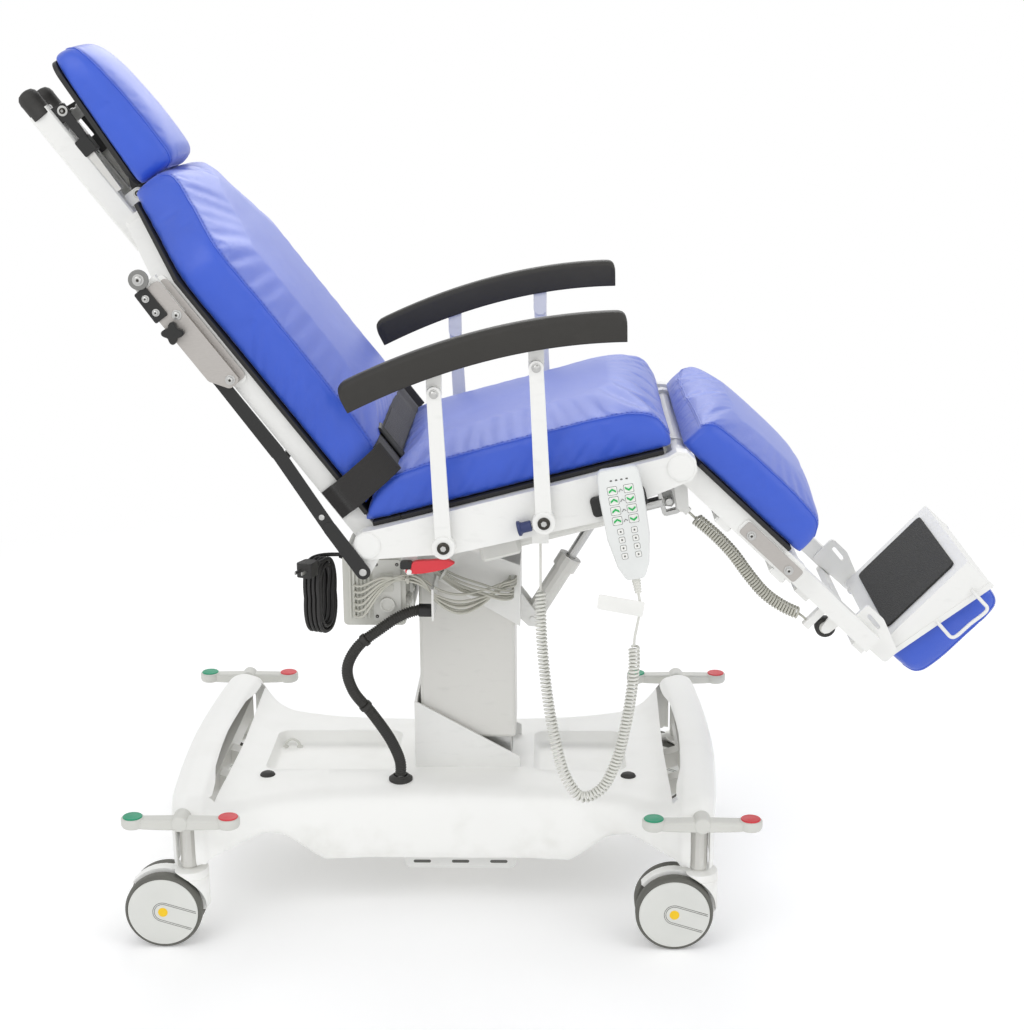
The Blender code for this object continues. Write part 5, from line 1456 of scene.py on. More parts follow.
@dataclass
class Castor:
    """Swivel castor: hooded fork and twin wheels with pale discs and grey tyres."""

    end: End
    hand: Hand
    radius: float = 0.0625
    trail: float = 0.04

    @property
    def word(self) -> str:
        """The castor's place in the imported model's names."""
        return f"{self.end.word}_{self.hand.word}"

    def fork(self, x: float, y: float) -> None:
        """Hood with its cap ring, the web between the wheels and the stem.

        Args:
            x: place of the stem.
            y: its distance from the middle plane.
        """
        axle = (x - self.trail, self.radius)
        hood = Shape(COVER)
        hood.lathe([(0.027, 0.056), (0.031, 0.062), (0.031, 0.113), (0.0302, 0.1138), (0.0302, 0.115),
                    (0.031, 0.1158), (0.031, 0.124), (0.0296, 0.1268), (0.02, 0.128), (0.011, 0.128)],
                   (x, y, 0.0), UP, 56)
        wells = [Shape().across(axle, y + k * 0.0106, y + k * 0.045, self.radius + 0.005,
                                72) for k in (-1, 1)]
        hood.piece(f"castor_hood_{self.word}", f"fork_{self.word}", "castor", 0.001,
                   (f"castor_fork_{self.word}",), 40.0, wells)
        web = Shape(COVER)
        web.prism(bar_outline(axle, (x - 0.012, 0.098), 0.017, 0.024, 24), y - 0.0098, y + 0.0098)
        guard = arc(axle, 0.066, 62, 143, 10) + arc(axle, 0.058, 143, 62, 10)
        web.prism(guard, y - 0.0094, y + 0.0094)
        web.use(PALE).lathe([(0.0118, 0.1265), (0.0118, 0.19), (0.0105, 0.193)], (x, y, 0.0), UP, 32)
        web.use(STEEL)
        web.across(axle, y - 0.011, y + 0.011, 0.0068, 24)
        web.piece(f"castor_web_{self.word}", f"fork_{self.word}", "castor", 0.0012)

    def wheels(self, x: float, y: float) -> None:
        """Two wheels on one axle, each with a disc, a tyre, a dot and a looped groove drawn as a raised dark
        line, painted shade of the groove.

        Args:
            x: place of the stem.
            y: its distance from the middle plane.
        """
        centre = (x - self.trail, y, self.radius)
        r = self.radius
        shape = Shape(TYRE)
        for k in (-1, 1):
            way = (0.0, k, 0.0)
            shape.use(TYRE)
            shape.lathe([(r - 0.01, 0.0118), (r - 0.004, 0.0122), (r - 0.001, 0.015), (r, 0.0185),
                         (r, 0.029), (r - 0.001, 0.0325), (r - 0.003, 0.035), (r - 0.0046, 0.0353),
                         (r - 0.0052, 0.0344), (r - 0.01, 0.0335)], centre, way, 96)
            shape.use(DISC)
            shape.lathe([(0.0072, 0.0116), (r - 0.0098, 0.012), (r - 0.0098, 0.033), (r - 0.0056, 0.0338),
                         (r - 0.006, 0.035), (r - 0.0072, 0.0354), (0.03, 0.0355), (0.001, 0.0355)],
                        centre, way, 96)
            face = y + k * 0.0356
            shape.use(AMBER).lathe([(0.0078, -0.0004), (0.0078, 0.0003), (0.007, 0.0006), (0.001, 0.0007)],
                                   (centre[0], face, centre[2]), way, 32)
            # The looped groove is a thin dark tube on the disc with no recess cut: painted shade of the
            # groove.
            shape.use(LINE)
            for loop in (0.0138, 0.0164):
                end = math.sqrt((r - 0.009) ** 2 - loop ** 2)
                turn = math.radians(-17.0)
                marks = [(end, loop)] + arc((0.0, 0.0), loop, 90, 270, 17) + [(end, -loop)]
                line = [(centre[0] + u * math.cos(turn) - v * math.sin(turn), face - k * 0.0002,
                         centre[2] + u * math.sin(turn) + v * math.cos(turn)) for u, v in marks]
                shape.tube(line, 0.0005, 6)
        shape.piece(f"castor_pair_{self.word}", f"wheels_{self.word}", "castor", 0.0,
                    (f"castor_wheels_{self.word}",), 35.0)

    def build(self) -> None:
        """Fork and wheels."""
        x = BASE_X + self.end.value * BASE_HALF
        y = self.hand.value * STEM_Y
        self.fork(x, y)
        self.wheels(x, y)


# Upholstery


Row = tuple[float, float, float]


@dataclass
class Cushion:
    """Boxed vinyl cushion: plumped by a cloth simulation, then creased and stitched."""

    name: str
    node: str
    body: Body
    frame: Frame2
    rows: tuple[Row, ...]
    base: float
    crown: float
    fill: float = 0.85
    shrink: float = 0.0035
    swell: float = 0.009
    voxel: float = 0.0062
    fan: tuple[tuple[float, float, int, float], ...] = ()
    lean: float = 0.0
    give: tuple[str, float] | None = None
    pressure: float = 4.0
    stiff: float = 12.0
    frames: int = 16

    def ring(self, row: Row, share: float, inset: float) -> list[Vector]:
        """One section across the cushion.

        Args:
            row: place along the frame, height of the top and half width.
            share: place from 0 at one end to 1 at the other.
            inset: how much smaller than its space it starts.

        Returns:
            Points from one lower edge over the top to the other, and back underneath.
        """
        along, top, half = row
        half -= inset + 0.004 * math.sin(math.pi * share)
        tall = top - inset - self.base
        side = ((half - 0.006, 0.0), (half - 0.001, 0.1), (half, 0.3), (half - 0.0005, 0.55),
                (half - 0.003, 0.76), (half - 0.01, 0.92))
        ring = [(-y, self.base + tall * h) for y, h in side]
        bow = 1 - (2 * share - 1) ** 4
        for k in range(-6, 7):
            v = k / 6
            ring.append((v * (half - 0.022), top - inset + self.crown * (1 - v * v) * bow))
        ring += [(y, self.base + tall * h) for y, h in reversed(side)]
        ring += [(v * (half - 0.006), self.base) for v in (0.66, 0.33, 0.0, -0.33, -0.66)]
        middle = (self.rows[0][0] + self.rows[-1][0]) / 2
        along += math.copysign(inset, middle - along) if share in (0.0, 1.0) else 0.0
        slope = self.lean * max(0.0, 1.0 - (row[0] - self.rows[0][0]) / 0.12)
        return [self.frame.at(along + slope * (b - self.base), b, y) for y, b in ring]

    def place(self, co: Vector) -> tuple[float, float, float]:
        """Along, above and across of a point in the cushion's frame."""
        d = co - self.frame.origin
        return d.dot(self.frame.along), d.dot(self.frame.above), co.y

    def width(self, along: float) -> float:
        """Half width at a place along the frame.

        Args:
            along: the place.

        Returns:
            The half width.
        """
        for (a0, _, h0), (a1, _, h1) in zip(self.rows, self.rows[1:]):
            if along <= a1:
                share = min(max((along - a0) / (a1 - a0), 0.0), 1.0)
                return h0 + (h1 - h0) * share
        return self.rows[-1][2]

    def edge(self) -> list[Vector]:
        """Line round the cushion where its top panel is sewn to its sides.

        Returns:
            Points of the closed line.
        """
        rings = [self.ring(row, i / (len(self.rows) - 1), 0.0) for i, row in enumerate(self.rows)]
        loop = [ring[5] for ring in rings] + [ring[19] for ring in reversed(rings)]
        return smooth(loop + [loop[0]], 520)

    def plump(self, obj: bpy.types.Object) -> None:
        """Remesh the cushion evenly and let air pressure swell it, its base held.

        Args:
            obj: the raw cushion.
        """
        even = obj.modifiers.new("even", "REMESH")
        even.mode = "VOXEL"
        even.voxel_size = self.voxel
        bake(obj)
        soft = obj.modifiers.new("round", "SMOOTH")
        soft.factor = 0.5
        soft.iterations = 4
        bake(obj)
        rest = [v.co.copy() for v in obj.data.vertices]
        held = [i for i, co in enumerate(rest) if self.place(co)[1] < self.base + 0.006]
        pins = obj.vertex_groups.new(name="held")
        pins.add(held, 1.0, "REPLACE")
        edge = self.edge()
        sewn = KDTree(len(edge))
        for i, p in enumerate(edge):
            sewn.insert(p, i)
        sewn.balance()
        pins.add([i for i, co in enumerate(rest) if sewn.find(co)[2] < 0.008], 0.6, "ADD")
        cloth = obj.modifiers.new("swell", "CLOTH")
        settings = {"quality": 3, "tension_stiffness": self.stiff, "compression_stiffness": self.stiff,
                    "bending_stiffness": 4.0, "shrink_min": -0.003, "use_pressure": True,
                    "uniform_pressure_force": self.pressure, "vertex_group_mass": "held"}
        for key, value in settings.items():
            setattr(cloth.settings, key, value)
        cloth.settings.effector_weights.gravity = 0.0
        cloth.collision_settings.use_collision = False
        cloth.point_cache.frame_start = 1
        cloth.point_cache.frame_end = self.frames
        for step in range(1, self.frames + 1):
            bpy.context.scene.frame_set(step)
        bake(obj)
        for vert, was in zip(obj.data.vertices, rest):
            move = vert.co - was
            if move.length > self.swell:
                vert.co = was + move * (self.swell / move.length)
        bpy.context.scene.frame_set(1)

    def crease(self, obj: bpy.types.Object) -> None:
        """Press fans of diagonal creases into the side panels.

        Args:
            obj: the plumped cushion.
        """
        for vert in obj.data.vertices:
            a, b, y = self.place(vert.co)
            inside = self.width(a) - abs(y)
            if inside > 0.03 or b < self.base + 0.004:
                continue
            push = 0.0
            for start, end, count, depth in self.fan:
                for i in range(count):
                    foot = start + (end - start) * (i + 0.5) / count
                    wob = noise.noise((i * 1.7, foot * 9.0, 0.3 * math.copysign(1.0, y)))
                    lean = 0.9 + 0.5 * wob
                    off = (a - foot - lean * (b - self.base)) / math.hypot(1.0, lean)
                    reach = min(max((b - self.base) / 0.014, 0.0), 1.0)
                    tail = math.exp(-((b - self.base - 0.02) / (0.034 + 0.012 * wob)) ** 2)
                    push += depth * (0.7 + 0.6 * wob) * reach * tail * math.exp(-(off / 0.0065) ** 2)
            fade = min(max((0.03 - inside) / 0.014, 0.0), 1.0)
            vert.co.y -= math.copysign(push * fade, y)

    def seam(self, obj: bpy.types.Object) -> bpy.types.Object:
        """Sewn edge between top and side panels, with a row of stitches above it.

        Args:
            obj: the finished cushion.

        Returns:
            The piece with the edge and its stitches.
        """
        bpy.context.view_layer.update()
        seen = obj.evaluated_get(bpy.context.evaluated_depsgraph_get())
        tree = BVHTree.FromObject(seen, bpy.context.evaluated_depsgraph_get())
        cord = Shape(THREAD, BLUE)
        snapped = []
        for p in self.edge():
            spot, normal, _, _ = tree.find_nearest(p)
            snapped.append((spot, normal))
        cord.use(BLUE).tube([p + n * 0.0002 for p, n in snapped], 0.0011, 8)
        cord.use(THREAD)
        middle = self.frame.at((self.rows[0][0] + self.rows[-1][0]) / 2, self.base)
        for i in range(0, len(snapped) - 3, 2):
            p, n = snapped[i]
            q = snapped[i + 1][0]
            inward = n.cross((q - p).normalized())
            if inward.dot(middle - p) < 0:
                inward = -inward
            marks = []
            for spot, lift in ((p, 0.0), (p.lerp(q, 0.4), 0.0003), (p.lerp(q, 0.8), 0.0)):
                near, normal, _, _ = tree.find_nearest(spot + inward * 0.0045)
                marks.append(near + normal * lift)
            cord.tube(marks, 0.00035, 4)
        return cord.piece(f"{self.name}_seam", self.body, "blue_vinyl", angle=70.0)

    def build(self) -> None:
        """The cushion and its seams."""
        last = len(self.rows) - 1
        rings = [self.ring(row, i / last, self.shrink) for i, row in enumerate(self.rows)]
        obj = Shape(BLUE).loft(fair([r + [r[0]] for r in rings], 3, 2)).loose(self.name)
        self.plump(obj)
        step = obj.modifiers.new("fine", "SUBSURF")
        step.levels = 1
        bake(obj)
        if self.fan:
            self.crease(obj)
        obj.data.shade_smooth()
        sewn = self.seam(obj)
        settle(obj, self.body, (self.node,))
        if self.give:
            far = self.frame.at(self.rows[-1][0], self.base)
            for soft in (obj, sewn):
                tuple(self.frame.along)
                tuple(far)
                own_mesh(soft)


@dataclass
class Upholstery:
    """The five cushions of the chair."""

    seat: float = 0.272
    pad: float = 0.2605

    def shoulder(self, along: float) -> float:
        """Half width of the back cushion, narrower towards the head.

        Args:
            along: place along the back.

        Returns:
            The half width.
        """
        if along <= 0.495:
            return self.pad
        return self.pad + (0.142 - self.pad) * (along - 0.495) / 0.135

    def build(self) -> None:
        """Seat, back, head, leg and foot cushions."""
        s, p, h = self.seat, self.pad, self.shoulder
        seat = ((-0.003, 0.07, s - 0.008), (0.019, 0.094, s - 0.002), (0.09, 0.102, s), (0.16, 0.105, s),
                (0.3, 0.107, s), (0.415, 0.106, s), (0.455, 0.1, s), (0.483, 0.083, s - 0.003),
                (0.496, 0.053, s - 0.01))
        back = ((0.041, 0.076, p - 0.01), (0.057, 0.098, p - 0.002), (0.112, 0.108, p), (0.24, 0.111, p),
                (0.38, 0.111, p), (0.48, 0.11, p), (0.51, 0.109, h(0.51)), (0.575, 0.108, h(0.575)),
                (0.626, 0.103, h(0.62) - 0.002), (0.645, 0.08, h(0.634) - 0.01))
        head = ((-0.006, 0.058, 0.08), (0.005, 0.078, 0.094), (0.05, 0.08, 0.098), (0.13, 0.073, 0.098),
                (0.2, 0.06, 0.094), (0.228, 0.046, 0.079), (0.238, 0.028, 0.062))
        leg = ((-0.018, 0.068, p - 0.01), (-0.005, 0.086, p - 0.002), (0.04, 0.093, p), (0.11, 0.096, p),
               (0.19, 0.094, p), (0.228, 0.086, p - 0.004), (0.244, 0.064, p - 0.012))
        foot = ((-0.008, 0.068, 0.154), (0.003, 0.092, 0.168), (0.036, 0.1015, 0.171), (0.105, 0.104, 0.171),
                (0.156, 0.1035, 0.171), (0.177, 0.096, 0.166), (0.185, 0.068, 0.156))
        Cushion("seat_pad", "seat_cushion", Body.SEAT, SEAT, seat, 0.0295, 0.012, lean=0.62,
                fan=((0.02, 0.4, 14, 0.0022),)).build()
        Cushion("back_pad", "back_cushion", Body.BACK, BACK, back, 0.0278, 0.012, lean=0.6, voxel=0.0064,
                fan=((0.05, 0.36, 13, 0.0028),)).build()
        Cushion("head_pad", "headrest_cushion", Body.HEADREST, HEAD, head, 0.0043, 0.008, swell=0.006,
                voxel=0.005, give=("headrest_tilt", 0.94)).build()
        Cushion("leg_pad", "leg_cushion", Body.LEG, LEG, leg, 0.0231, 0.012, swell=0.008, voxel=0.0056,
                fan=((0.03, 0.18, 6, 0.0012),), give=("leg_lift", 0.94)).build()
        Cushion("foot_pad", "foot_cushion", Body.FOOT, PAD, foot, 0.0003, 0.006, swell=0.006,
                voxel=0.0052).build()
        lip = Shape(BOARD)
        edge = SEAT.outline(box_corners((0.014, 0.0597), (0.0225, 0.029)))
        lip.prism(edge, -s + 0.004, s - 0.004)
        lip.piece("seat_board_tail", Body.SEAT, "black_board", 0.0012)


# Armrests


@dataclass
class Armrest:
    """Curved foam armrest on two lugs."""

    hand: Hand
    half_tall: float = 0.0225
    half_wide: float = 0.017
    plane: float = 0.305
    feet: tuple[float, float] = (0.1155, 0.2746)
    drop: float = -0.028
    rise: tuple[float, float] = (-0.011, 0.2397)

    @staticmethod
    def line(t: float) -> Vector:
        """Middle line of the pad in the side view."""
        return Vector((-0.25 + 0.428 * t, 0.0, 0.9015 + 0.2125 * t - 0.103 * t * t))

    def section(self, t: float, trim: float) -> list[Vector]:
        """One section with sharp lower corners and a chamfered top.

        Args:
            t: place along the pad from rear to front.
            trim: how far the top is taken down, near the ends.

        Returns:
            The section's points.
        """
        way = (self.line(t + 0.01) - self.line(t - 0.01)).normalized()
        up = Vector((-way.z, 0.0, way.x))
        w, h = self.half_wide, self.half_tall
        flat = [(-w + 0.0015, -h), (w - 0.0015, -h), (w, -h + 0.0015), (w, h - 0.0085 - trim),
                (w - 0.0012, h - 0.0062 - trim), (w - 0.006, h - 0.0012 - trim), (w - 0.0085, h - trim),
                (-w + 0.0085, h - trim), (-w + 0.006, h - 0.0012 - trim), (-w + 0.0012, h - 0.0062 - trim),
                (-w, h - 0.0085 - trim), (-w, -h + 0.0015)]
        mid = self.line(t) + Vector((0.0, self.hand.value * self.plane, 0.0))
        return [mid + up * v + Vector((0.0, u, 0.0)) for u, v in flat]

    def build(self) -> None:
        """Pad, lugs and their screws."""
        shape = Shape(CHARCOAL)
        ends = ((0.0, 0.015), (0.003, 0.0095), (0.008, 0.0052), (0.016, 0.0022), (0.028, 0.0004))
        marks = list(ends) + [(0.05 + 0.9 * k / 44, 0.0) for k in range(45)]
        marks += [(1.0 - t, trim) for t, trim in reversed(ends)]
        shape.loft([self.section(t, trim) for t, trim in marks])
        side = self.hand.value
        for end in End:
            top = self.top(end)
            shape.use(WHITE).slab(bar_outline(top, (top[0], top[1] + 0.04), 0.0118, 0.0118), side,
                                  0.2935, 0.299)
        shape.piece(f"arm_pad_{self.hand.word}", f"armrest_{self.hand.word}", "charcoal_pad", 0.0012,
                    (f"armrest_{self.hand.word}",), 30.0)
        for end in End:
            self.post(end)
        self.plunger()

    def foot(self, end: End) -> tuple[float, float]:
        """Lower pivot of a post in the side view."""
        return SEAT.flat(self.feet[1] if end is End.FRONT else self.feet[0], self.drop)

    def top(self, end: End) -> tuple[float, float]:
        """Upper pivot of a post in the side view."""
        foot = self.foot(end)
        return (foot[0] + self.rise[0], foot[1] + self.rise[1])

    def post(self, end: End) -> None:
        """Flat post with a hub, a dark button screw below and a bright one above.

        Args:
            end: which of the two posts.
        """
        side = self.hand.value
        foot, top = self.foot(end), self.top(end)
        low, high = Vector((foot[0], 0.0, foot[1])), Vector((top[0], 0.0, top[1]))
        way = (0, side, 0)
        shape = Shape(WHITE)
        shape.slab(bar_outline(foot, top, 0.0125, 0.011, 20), side, 0.2993, 0.308)
        shape.lathe([(0.018, 0.2903), (0.018, 0.3092), (0.0168, 0.3105), (0.0105, 0.3105)], low, way, 48)
        shape.use(SCREW).lathe([(0.0098, 0.3105), (0.0096, 0.3125), (0.0074, 0.3142), (0.0052, 0.3144)],
                               low, way, 32)
        shape.use(STEEL).lathe([(0.005, 0.314), (0.0046, 0.3147), (0.0025, 0.3146)], low, way, 6)
        shape.lathe([(0.0072, 0.308), (0.007, 0.3092), (0.0058, 0.3094)], high, way, 28)
        shape.lathe([(0.0056, 0.3094), (0.0052, 0.3118), (0.0034, 0.313)], high, way, 20)
        word = f"{end.word}_{self.hand.word}"
        shape.piece(f"arm_post_{word}", f"post_{word}", "white_paint", 0.0012, (f"armrest_post_{word}",))

    def plunger(self) -> None:
        """Spring plunger with a flanged knob that locks the front post."""
        centre = SEAT.at(self.feet[1], self.drop, self.hand.value * 0.3028)
        shape = Shape(NAVY)
        shape.lathe([(0.009, -0.042), (0.0118, -0.0412), (0.0118, -0.037), (0.01, -0.0362), (0.0085, -0.034),
                     (0.0085, -0.0205), (0.007, -0.0196)], centre, SEAT.along, 36)
        shape.use(STEEL).lathe([(0.0042, -0.0198), (0.0042, -0.0184)], centre, SEAT.along, 20)
        shape.piece(f"lock_knob_{self.hand.word}", f"lock_{self.hand.word}", "navy_plastic", 0.0006,
                    (f"lock_plunger_{self.hand.word}",))


# Headrest mount


@dataclass
class HeadEnd:
    """Folded channels at the top of the back, their grips, and the headrest's plate and ratchet."""

    low: float = 0.572
    high: float = 0.836
    mid: float = -0.0262
    half: float = 0.0184
    near: float = 0.03
    far: float = 0.055
    wall: float = 0.0024
    pivot: tuple[float, float] = BACK.flat(0.643, 0.013)

    def channel(self) -> None:
        """Two folded channels with a cross plate, lugs and a pivot pin."""
        n, f, h, w = self.near, self.far, self.half, self.wall
        fold = ((f - 0.003, -h), (f, -h + 0.003), (f, h - 0.003), (f - 0.003, h), (n, h), (n, h - w),
                (f - w - 0.001, h - w), (f - w, h - w - 0.001), (f - w, -h + w + 0.001),
                (f - w - 0.001, -h + w), (n, -h + w), (n, -h))
        shape = Shape(WHITE)
        for hand in Hand:
            rings = [[BACK.at(a, self.mid + b,
                              hand.value * y) for y, b in fold] for a in (self.low, self.high)]
            shape.loft(rings)
            lug = bar_outline(BACK.flat(0.643, -0.02), self.pivot, 0.0115, 0.01)
            shape.slab(lug, hand.value, 0.0315, 0.0375)
        plate = BACK.outline(box_corners((0.63, 0.75), (-0.0447, -0.0421)))
        shape.prism(plate, -f + 0.002, f - 0.002)
        shape.use(STEEL).across(self.pivot, -0.0405, 0.0405, 0.005)
        shape.piece("head_channels", Body.BACK, "white_paint", 0.0007, ("head_channel",), 30.0)

    def grips(self) -> None:
        """Rubber grips on the ends of the channels."""
        shape = Shape(DARK)
        for hand in Hand:
            centre = BACK.at(0.83, self.mid, hand.value * 0.0425)
            shape.lathe([(0.0165, -0.004), (0.0185, -0.003), (0.0185, 0.005),
                         (0.0176, 0.0062), (0.0176, 0.024), (0.018, 0.03), (0.0165, 0.037),
                         (0.0125, 0.042), (0.006, 0.0444)],
                        centre, BACK.along, 40)
        shape.piece("channel_grips", Body.BACK, "black_metal", angle=50.0)

    def plate(self) -> None:
        """Black headrest plate with hinge arms and a toothed sector."""
        shape = Shape(BLACK)
        flat = oblong((0.0, 0.228), (-0.088, 0.088), 0.03, 12)
        shape.loft([[HEAD.at(u, w, v) for u, v in flat] for w in (-0.004, 0.004)])
        for hand in Hand:
            shape.slab(bar_outline(self.pivot, HEAD.flat(0.04, -0.0035), 0.011, 0.005), hand.value,
                       0.024, 0.031)
        teeth = []
        for i in range(28):
            a = math.radians(117 + i)
            r = 0.172 if i % 4 < 2 else 0.169
            teeth.append((self.pivot[0] + r * math.cos(a), self.pivot[1] + r * math.sin(a)))
        teeth += arc(self.pivot, 0.15, 144, 117, 10)
        shape.use(STEEL).prism(teeth, -0.004, 0.004)
        shape.piece("head_plate", Body.HEADREST, "black_metal", 0.0014, ("headrest_plate",))

    def lever(self) -> None:
        """Ratchet block between the channels with its release lever."""
        shape = Shape(BLACK)
        for hand in Hand:
            lug = BACK.outline(((0.798, -0.012), (0.828, -0.012), (0.824, 0.014), (0.804, 0.014)))
            shape.slab(round_corners(lug, 0.004), hand.value, 0.042, 0.05)
            shape.slab(bar_outline(BACK.flat(0.8134, 0.006), BACK.flat(0.76, 0.005), 0.0085, 0.007),
                       hand.value, 0.05, 0.0535)
            shape.slab(BACK.plate((0.735, 0.764), (-0.012, 0.011), 0.003), hand.value, 0.032, 0.056)
            rail = BACK.outline(((0.664, -0.009), (0.737, -0.009), (0.737, 0.004), (0.664, 0.0)))
            shape.use(GREY).slab(rail, hand.value, 0.039, 0.053)
            shape.use(STEEL)
            for a, b, y in ((0.8134, 0.006, 0.0535), (0.643, 0.013, 0.0375)):
                spot = BACK.at(a, b, hand.value * y)
                shape.lathe([(0.0085, 0.0), (0.0083, 0.0012), (0.006, 0.0014)], spot, (0, hand.value, 0), 28)
                shape.screw(spot + Vector((0.0, hand.value * 0.0012, 0.0)), (0, hand.value, 0), 0.005)
            shape.use(BLACK)
        shape.piece("ratchet_block", Body.BACK, "black_metal", 0.001)

    def build(self) -> None:
        """The whole head end."""
        self.channel()
        self.grips()
        self.plate()
        self.lever()


# Foot board


@dataclass
class FootBoard:
    """Folding foot plate with side flanges, grip sheet and wire bail."""

    half: float = 0.178

    def plate(self) -> None:
        """Folded plate with side flanges, a top rim and a hinge tube."""
        shape = Shape(WHITE)
        flat = oblong((-0.004, 0.192), (-self.half, self.half), 0.004)
        shape.loft([[LEG.at(s, h, y) for h, y in flat] for s in (0.463, 0.4662)])
        side = LEG.outline(((0.4632, -0.012), (0.485, -0.012), (0.52, 0.1918), (0.4632, 0.1918)))
        band = LEG.outline(((0.4805, -0.013), (0.489, -0.013), (0.524, 0.1925), (0.514, 0.1925)))
        for hand in Hand:
            shape.slab(round_corners(side, 0.006), hand.value, self.half - 0.003, self.half + 0.0002)
            shape.slab(round_corners(band, 0.003), hand.value, self.half - 0.004, self.half + 0.0016)
            shape.across(LEG.flat(0.473, -0.004), hand.value * 0.15, hand.value * self.half, 0.0095)
            shape.screw(LEG.at(0.473, -0.004, hand.value * self.half), (0, hand.value, 0), 0.006)
        rim = LEG.outline(box_corners((0.4634, 0.518), (0.1886, 0.1914)))
        shape.prism(rim, -self.half, self.half)
        shape.piece("step_plate", Body.FOOT, "white_paint", 0.0008, ("foot_plate",))

    def bail(self) -> None:
        """Wire loop on the near flange."""
        route = [(0.5, 0.088, -0.1765), (0.502, 0.088, -0.1835), (0.507, 0.0878, -0.1872),
                 (0.522, 0.0865, -0.188), (0.5315, 0.0862, -0.188), (0.5362, 0.09, -0.188),
                 (0.5385, 0.123, -0.188), (0.541, 0.156, -0.188), (0.5375, 0.1604, -0.188),
                 (0.526, 0.1615, -0.188), (0.51, 0.1625, -0.1872), (0.505, 0.1628, -0.1835),
                 (0.503, 0.1628, -0.1765)]
        shape = Shape(WHITE).tube(spline([LEG.at(s, h, y) for s, h, y in route], 6), 0.003, 14)
        shape.piece("wire_bail", Body.FOOT, "white_paint")

    def grip(self) -> None:
        """Coarse black grip sheet with round corners."""
        flat = oblong((0.022, 0.172), (-0.148, 0.148), 0.01, 8)
        shape = Shape(GRIT).loft([[LEG.at(s, h, y) for h, y in flat] for s in (0.4592, 0.4628)])
        shape.piece("grip_sheet", Body.FOOT, "black_board", 0.001, ("grip_pad",))

    def roller(self) -> None:
        """Guide roller with a hub under the sliding frame."""
        centre = LEG.at(0.372, -0.04, -0.19)
        shape = Shape(DARK)
        shape.lathe([(0.01, -0.008), (0.015, -0.0085), (0.0165, -0.0065), (0.0165, 0.0065), (0.015, 0.0085),
                     (0.01, 0.008)], centre, (0, 1, 0), 40)
        shape.use(PALE).lathe([(0.0101, -0.007), (0.0098, -0.0088), (0.0062, -0.009), (0.006, -0.006)],
                              centre, (0, 1, 0), 32)
        shape.piece("guide_wheel", Body.ROLLER, "castor", 0.0, ("foot_roller",), 40.0)

    def build(self) -> None:
        """The whole foot board."""
        self.plate()
        self.bail()
        self.grip()
        self.roller()


# Back fittings and belt


